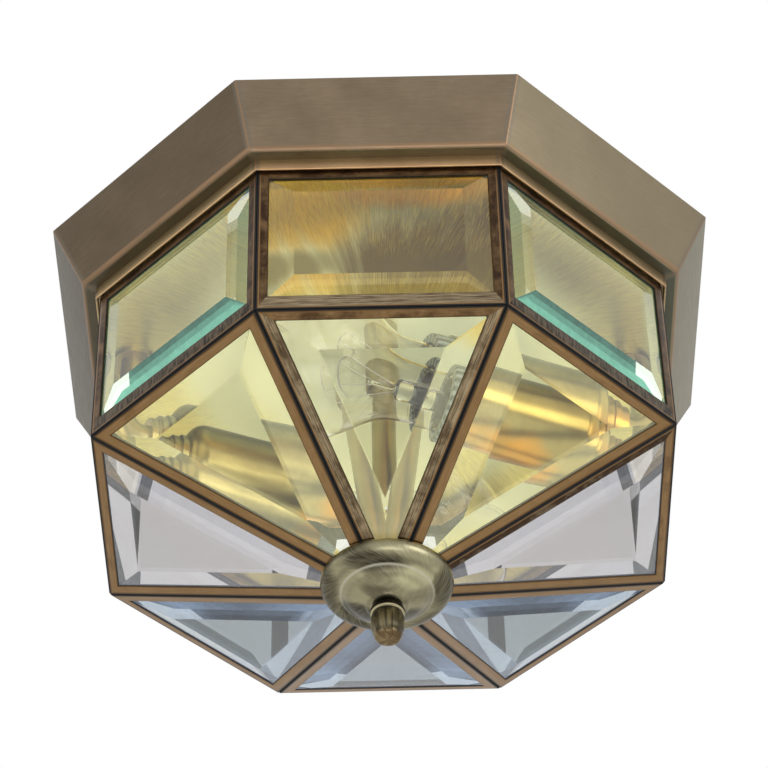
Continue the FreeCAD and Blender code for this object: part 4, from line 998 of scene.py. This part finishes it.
ringShape = {
    "sheet": 1.1 * mm, "shelfLift": 1.9 * mm, "shelfWidth": 4.2 * mm, "fold": 0.55 * mm, "lipRound": 0.3 * mm,
    "cornerRound": 1.0 * mm,
}


def makeSeatRing():  # down the outer wall, round its folded edge, and in over the shelf that the cage rises to
    outer, high, low = ringApothem, ringHigh.z, ringLow.z
    sheet, fold = ringShape["sheet"], ringShape["fold"]
    wall, shelf = outer - sheet, low + ringShape["shelfLift"]
    lip = wall - ringShape["shelfWidth"]
    outline = outlineWithArcs([
        (outer, high, 0), (outer, low, fold), (wall, low, fold * 0.9), (wall, shelf, 0),
        (lip, shelf, ringShape["lipRound"]), (lip, high, 0), (lip + sheet, high, 0), (lip + sheet, shelf + sheet, 0),
        (wall, shelf + sheet, 0), (wall, high, 0)])
    points, faces = octagonPoints(outline, ringShape["cornerRound"])
    writeMesh("seatRing", points, faces, ringBrass, "canopy", "came_brass", ["seat_ring"])


cupShape = {
    "radius": 29.6 * mm, "wall": 0.9 * mm, "hole": 5.3 * mm, "around": 128,
    # shares of the radius and of the height, from the top
    "band": [(0.988, 0.0), (1.0, 0.05), (1.0, 0.12), (0.985, 0.24), (0.94, 0.36), (0.87, 0.435), (0.79, 0.468),
             (0.725, 0.482), (0.685, 0.51), (0.65, 0.57), (0.6, 0.67), (0.51, 0.785), (0.41, 0.875), (0.335, 0.935),
             (0.3, 1.0)],
}
knobShape = {
    "radius": 7.4 * mm, "bore": 5.03 * mm, "boreDepth": 13.34 * mm, "around": 96,
    "neck": [(0.88, 0.0), (0.88, 0.058)],
    "ring": [(0.93, 0.066), (1.01, 0.09), (1.05, 0.13), (1.05, 0.165), (1.01, 0.2), (0.92, 0.222)],
    "body": [(0.9, 0.255), (0.955, 0.285), (0.99, 0.36), (1.0, 0.46), (0.995, 0.58), (0.96, 0.7), (0.89, 0.79)],
    "tip": [(0.865, 0.82), (0.835, 0.885), (0.75, 0.95), (0.62, 0.985), (0.4, 0.998), (0.0, 1.0)],
}


def makeCup():  # a thin wall turned about the stem
    shape, top, depth = cupShape, cupHigh.z, cupHigh.z - cupLow.z
    shares = throughPoints(shape["band"])
    outer = np.stack([shares[:, 0] * shape["radius"], top - shares[:, 1] * depth], 1)
    wall = shape["wall"]
    inner = outer[::-1] + [-wall, wall]
    inner[:, 1] = np.minimum(inner[:, 1], top)
    hole = np.array([(shape["hole"], cupLow.z), (shape["hole"], cupLow.z + wall)])
    points, faces = turnedPoints(np.concatenate([outer, hole, inner]), shape["around"])
    writeMesh("finialCup", points, faces, finialBrass, "finial_cup", "finial_brass", ["finial_cup"], sharp=50)


def makeKnob():  # solid round its bore
    shape, top, length = knobShape, knobHigh.z, knobHigh.z - knobLow.z
    shares = np.concatenate([shape["neck"], *(throughPoints(shape[key]) for key in ("ring", "body", "tip"))])
    outer = np.stack([shares[:, 0] * shape["radius"], top - shares[:, 1] * length], 1)[::-1]
    bore = np.array([(shape["bore"], top), (shape["bore"], top - shape["boreDepth"]), (0, top - shape["boreDepth"])])
    points, faces = turnedPoints(np.concatenate([outer, bore]), shape["around"], closed=False)
    writeMesh("finialKnob", points, faces, knobBrass, "finial_knob", "finial_brass", ["finial_knob"], sharp=32)


socketShape = {  # distances along a socket's axis, from the point beside the stem, and radii
    "pitch": 3.629 * mm, "threadSteps": 12, "around": 96,
    # a thread's start, turns, crest and root
    "baseThread": (5.3 * mm, 5, 13.2 * mm, 12.7 * mm), "shellThread": (5.0 * mm, 7, 14.15 * mm, 13.5 * mm),
    "shellWall": 0.3 * mm, "rim": 3.7 * mm, "rimRound": 0.25 * mm, "baseInner": 12.3 * mm,
    "cone": (7.98 * mm, 7.58 * mm), "coneEnd": 27.045 * mm, "coneLip": 0.4 * mm,
    # in mm: radius and how far past the thread's end, outside and inside the base
    "taper": [(13.1, 0.15), (12.2, 1.1), (10.2, 2.6)], "inside": [(11.6, 0.3), (12.3, -0.6)],
    "tab": [(0, 30.545), (1.9, 30.6), (2.7, 30.85), (3.0, 31.4), (3.0, 33.5), (0, 33.5)],
}


def ontoSocket(points, side):  # height above the turning plane becomes the distance along the socket's axis
    beside = np.array([-socketWay[1], socketWay[0], 0.0])
    placed = points[:, 2:] * socketWay + points[:, 1:2] * beside - points[:, :1] * np.array([0, 0, 1.0]) + socketPlace
    return placed if side == "right" else placed * [-1, -1, 1]


def threadLine(start, turns, crest, root):  # points up the crest, their end, and a ripple that fades at both ends
    pitch = socketShape["pitch"]
    end = start + turns * pitch
    heights = np.linspace(start, end, turns * socketShape["threadSteps"] + 1)

    def ripple(angle, r, z):
        inside = np.clip(np.minimum(z - start, end - z) / pitch, 0, 0.5) * 2
        threaded = (z > start) & (z < end) & (r > root - (crest - root) * 0.2)
        return threaded * inside * (crest - root) / 2 * (np.cos(2 * pi * (z - start) / pitch - angle) - 1)

    return np.stack([0 * heights + crest, heights], 1), end, ripple


def makeSockets():
    shape, around = socketShape, socketShape["around"]
    line, end, ripple = threadLine(*shape["baseThread"])
    crest, rim, rounding = line[0, 0], shape["rim"], shape["rimRound"]
    taper, inside = ([(r * mm, end + z * mm) for r, z in shape[key]] for key in ("taper", "inside"))
    (coneOuter, coneInner), coneEnd = shape["cone"], shape["coneEnd"]
    base = np.concatenate([
        [(crest - rounding, rim), (crest, rim + rounding)], line, throughPoints([*taper, (coneOuter, coneEnd)], 4),
        [(coneInner, coneEnd), (coneInner, coneEnd - shape["coneLip"]), *inside, (shape["baseInner"], rim)]])
    points, faces = turnedPoints(base, around, ripple)

    line, _, ripple = threadLine(*shape["shellThread"])
    shell = turnedPoints(np.concatenate([line, line[::-1] + [shape["shellWall"], 0]]), around, ripple)
    tab = turnedPoints(np.array(shape["tab"]) * mm, 32, closed=False)
    shells = []
    for side in ("right", "left"):
        writeMesh(side + "BulbBase", ontoSocket(points, side), faces, baseMetal, side + "_bulb", "base_metal",
                  [side + "_bulb_base"], sharp=50)
        shells += [(ontoSocket(places, side), quads) for places, quads in (shell, tab)]
    writeMesh("screwShells", *joined(shells), shellBrass, "canopy", "shell_brass", ["socket_screw_shells"], sharp=50)


mountShape = {  # all in mm
    "flare": [(0, 11.4), (10.2, 11.4), (10.4, 11.1), (7.6, 8.6), (5.6, 6.2), (4.9, 3.6), (4.8, -7.6)],
    "press": [(4.8, -8.2), (4.4, -9.8), (3.0, -10.6), (1.6, -10.9), (1.1, -11.6), (1.1, -20.9), (1.5, -22.2),
              (1.3, -23.2), (0, -23.6)],
    "spread": 13.0, "reach": -33.6, "bow": -37.6, "hold": 6.5,
    "coil": 0.34, "wire": 0.11, "coilPitch": 0.62, "coilSteps": 10,
    # the leads and the supports: foot, bend and thickness
    "leads": ((2.4, -11.5), (4.4, -16.0), 0.24), "supports": ((1.95, -22.5), (3.0, -27.0), 0.168),
    "bendRound": 3.0, "clear": 0.85,
}


def makeMounts():
    shape = mountShape
    outline = np.concatenate([shape["flare"], throughPoints(shape["press"], 4)]) * mm
    stem = turnedPoints(outline, 40, closed=False)
    ends = np.array([(-shape["spread"], 0, shape["reach"]), (-shape["hold"], 0, shape["bow"]),
                     (shape["hold"], 0, shape["bow"]), (shape["spread"], 0, shape["reach"])])
    middle = throughPoints(ends, 120)
    far = np.concatenate([[0], np.cumsum(np.linalg.norm(np.diff(middle, axis=0), axis=1))])
    steps = int(far[-1] / shape["coilPitch"] * shape["coilSteps"])
    along = np.linspace(0, far[-1], steps)
    axis = np.stack([np.interp(along, far, middle[:, k]) for k in range(3)], 1)
    ahead = np.gradient(axis, axis=0)
    ahead /= np.linalg.norm(ahead, axis=1, keepdims=True)
    level = np.tile([0.0, 1.0, 0.0], (steps, 1))
    raised = np.cross(ahead, level)
    winding = (2 * pi * along / shape["coilPitch"])[:, None]
    coil = axis + shape["coil"] * (np.cos(winding) * level + np.sin(winding) * raised)
    wires = [tubePoints(coil * mm, shape["wire"] * mm, 5)]
    for sign, tip, hold in ((-1, ends[0], ends[1]), (1, ends[3], ends[2])):
        for key, end in (("leads", tip), ("supports", hold)):
            *corners, radius = shape[key]
            path = [(sign * x, 0, z) for x, z in corners] + [end + [0, 0, shape["clear"]]]
            wires.append(tubePoints(roundedPath(path, shape["bendRound"]) * mm, radius * mm, 8))
    wirePoints, wireFaces = joined(wires)
    for side in ("right", "left"):
        writeMesh(side + "BulbStem", ontoSocket(stem[0], side), stem[1], bulbGlass, side + "_bulb", "bulb_mount_glass",
                  [side + "_bulb_filament"], sharp=40)
        writeMesh(side + "Filament", ontoSocket(wirePoints, side), wireFaces, filamentMetal, side + "_bulb",
                  "base_metal", sharp=60)


leadShape = {
    "radius": 1.1 * mm, "bend": 6.0 * mm, "spacing": 1.35 * mm, "start": 37.55 * mm, "rise": 107.9 * mm,
    "floor": -29.8 * mm, "straight": 5.0 * mm,
    "heights": {("right", 1): 12.4, ("left", -1): 12.4, ("right", -1): 16.2, ("left", 1): 20.0},
    "connectorX": 46.0 * mm, "connectorY": 42.0 * mm, "connectorLength": 22.0 * mm, "mouth": 6.2 * mm,
    "bore": 3.7 * mm, "boreDepth": 12.0 * mm, "lie": 0.3 * mm,
    # the connector in mm, and the ribs on it: from where to where, outside which radius, how many and how deep
    "lip": [(3.7, 0.3), (4.1, 0.0)],
    "skin": [(5.8, 0.0), (6.2, 0.6), (6.2, 4.0), (5.4, 9.0), (4.4, 17.0), (3.8, 20.8), (2.6, 22.0)],
    "ribbed": (5.0 * mm, 21.0 * mm, 3.8 * mm), "ribs": 14, "ribDepth": 0.3 * mm, "around": 84,
    "groundScrew": (-24.0 * mm, -5.35 * mm, -3.4 * mm), "groundEnd": (-24.0 * mm, -22.0 * mm),
    "groundWire": 0.8 * mm, "groundRun": 12.0 * mm,
}


def makeLeads():  # each lead runs through its arm and over the canopy's floor to a connector
    shape = leadShape
    spacing, placeX, placeY, rounding = (shape[key] for key in ("spacing", "connectorX", "connectorY", "bend"))
    lie = shape["floor"] + shape["lie"] + shape["mouth"]
    depth = shape["boreDepth"] * 2 / 3
    leads = {"black": [], "white": []}
    for (side, sign), rise in shape["heights"].items():
        turn = 1 if side == "right" else -1
        beside, height = -spacing * sign * turn, shape["floor"] + rise * mm
        start, corner = ontoSocket(np.array([(0, beside, shape["start"]), (0, beside, shape["rise"])]), side)
        entry = np.array([sign * placeX + spacing * turn, placeY, lie])
        path = [start, corner, (*corner[:2], height), (entry[0], placeY - shape["connectorLength"], height),
                entry - [0, shape["straight"], 0], entry + [0, depth, 0]]
        leads["black" if sign > 0 else "white"].append(tubePoints(roundedPath(path, rounding), shape["radius"], 12))
    for colour, replaced in (("black", ["fixture_wires"]), ("white", ())):
        writeMesh(colour + "Leads", *joined(leads[colour]), leadInsulation[colour], "canopy", "lead_insulation",
                  replaced)
    screw, (groundX, groundY) = np.array(shape["groundScrew"]), shape["groundEnd"]
    ground = roundedPath([screw, screw - [0, 0, shape["groundRun"]], (groundX, groundY - depth, lie)], rounding)
    writeMesh("groundWire", *tubePoints(ground, shape["groundWire"], 10), leadInsulation["bare"], "canopy",
              "lead_insulation")

    inside = [(0, shape["boreDepth"]), (shape["bore"], shape["boreDepth"])]
    outline = np.concatenate([shape["lip"], throughPoints(shape["skin"], 5), [(0, shape["skin"][-1][1])]]) * mm

    def ribs(angle, r, z):  # r swells outwards in ribs along the slim part only
        low, high, outside = shape["ribbed"]
        wave = 0.5 + 0.5 * np.cos(shape["ribs"] * angle)
        return (r > outside) * (z > low) * (z < high) * -shape["ribDepth"] * wave

    points, faces = turnedPoints(np.concatenate([inside, outline]), shape["around"], ribs, closed=False)
    turned = np.stack([points[:, 0], points[:, 2], -points[:, 1]], 1)
    placed = [(turned + [sign * placeX, placeY, lie], faces) for sign in (-1, 1)]
    placed.append((turned * [-1, -1, 1] + [groundX, groundY, lie], faces))
    writeMesh("wireConnectors", *joined(placed), connectorPlastic, "canopy", "connector_plastic", ["wire_connectors"],
              sharp=50)


makeSeatRing()
makeCup()
makeKnob()
makeSockets()
makeMounts()
makeLeads()
print("turned pieces, bulbs and leads made")


# Studio

studio = {
    "distance": 1.4686, "elevation": -44.37, "azimuth": 0.026, "aim": (0.00055, 0.0, -0.0428), "roll": 1.2,
    "lens": 146.1, "sensor": 36.0, "lampAim": (0.0, 0.0, -0.1),
    "floorDrop": 2.2, "floorSize": 12.0, "floorColour": paint(246, 246, 242),
    "worldSide": (0.28, 0.72), "worldRise": (0.2, 0.7), "worldTop": 1.2, "worldColour": (1.0, 0.99, 0.97, 1.0),
}
softboxes = {  # place, power in watts, width
    "keyRight": ((1.7, -1.5, -0.5), 16.0, 1.2),
    "fillLeft": ((-1.9, -1.2, -0.9), 6.0, 1.2),
    "lowFront": ((0.2, -1.6, -1.9), 12.0, 1.4),
}


def makeCamera():
    rise, side, aim = radians(studio["elevation"]), radians(studio["azimuth"]), Vector(studio["aim"])
    back = Vector((sin(side) * cos(rise), -cos(side) * cos(rise), sin(rise)))
    right = Vector((cos(side), sin(side), 0))
    across = Matrix.Rotation(radians(studio["roll"]), 3, -back) @ right
    data = bpy.data.cameras.new("photoCamera")
    data.sensor_width, data.lens = studio["sensor"], studio["lens"]
    camera = linked("photoCamera", data)
    axes = Matrix((across, back.cross(across), back)).transposed().to_4x4()
    camera.matrix_world = Matrix.Translation(aim + back * studio["distance"]) @ axes
    bpy.context.scene.camera = camera


def makeLamps():
    for name, (place, power, width) in softboxes.items():
        data = bpy.data.lights.new(name, "AREA")
        data.energy, data.size = power, width
        lamp = linked(name, data)
        lamp.location = place
        lamp.rotation_euler = (Vector(studio["lampAim"]) - Vector(place)).to_track_quat("-Z", "Y").to_euler()


def makeWorld():  # white to the camera, through glass and in gloss; otherwise a soft room, brighter on the right
    world = bpy.data.worlds.new("studioRoom")
    bpy.context.scene.world = world
    world.use_nodes = True
    building["tree"] = world.node_tree
    world.node_tree.nodes.clear()
    sideways, _, upwards = axesOf(output("TexCoord", "Generated"))
    level = spread(sideways, -1.0, 1.0, *studio["worldSide"])
    strength = spread(upwards, *studio["worldRise"]) * (studio["worldTop"] - level) + level
    room = output("Background", 0, {"Color": studio["worldColour"], "Strength": strength})
    white = output("Background", 0, {"Color": (1, 1, 1, 1), "Strength": 1.0})
    path = outputsOf(addNode("LightPath"))
    direct = path["Is Camera Ray"] + path["Is Transmission Ray"]
    seen = calc("ADD", direct, path["Is Glossy Ray"], clamp=True)
    addNode("OutputWorld", {0: output("MixShader", 0, {0: seen, 1: room, 2: white})})


def makeFloor():
    size = studio["floorSize"]
    mesh = bpy.data.meshes.new("studioFloor")
    corners = [(x * size, y * size, -studio["floorDrop"]) for x, y in ((-1, -1), (1, -1), (1, 1), (-1, 1))]
    mesh.from_pydata(corners, [], [(0, 1, 2, 3)])
    mesh.materials.append(newMaterial("paleFloor", roughness=0.8, **{"Base Color": studio["floorColour"]})[0])
    floor = linked("studioFloor", mesh)


makeCamera()
makeLamps()
makeWorld()
makeFloor()
bpy.context.scene.view_settings.view_transform = "Standard"
print("studio made")

import json
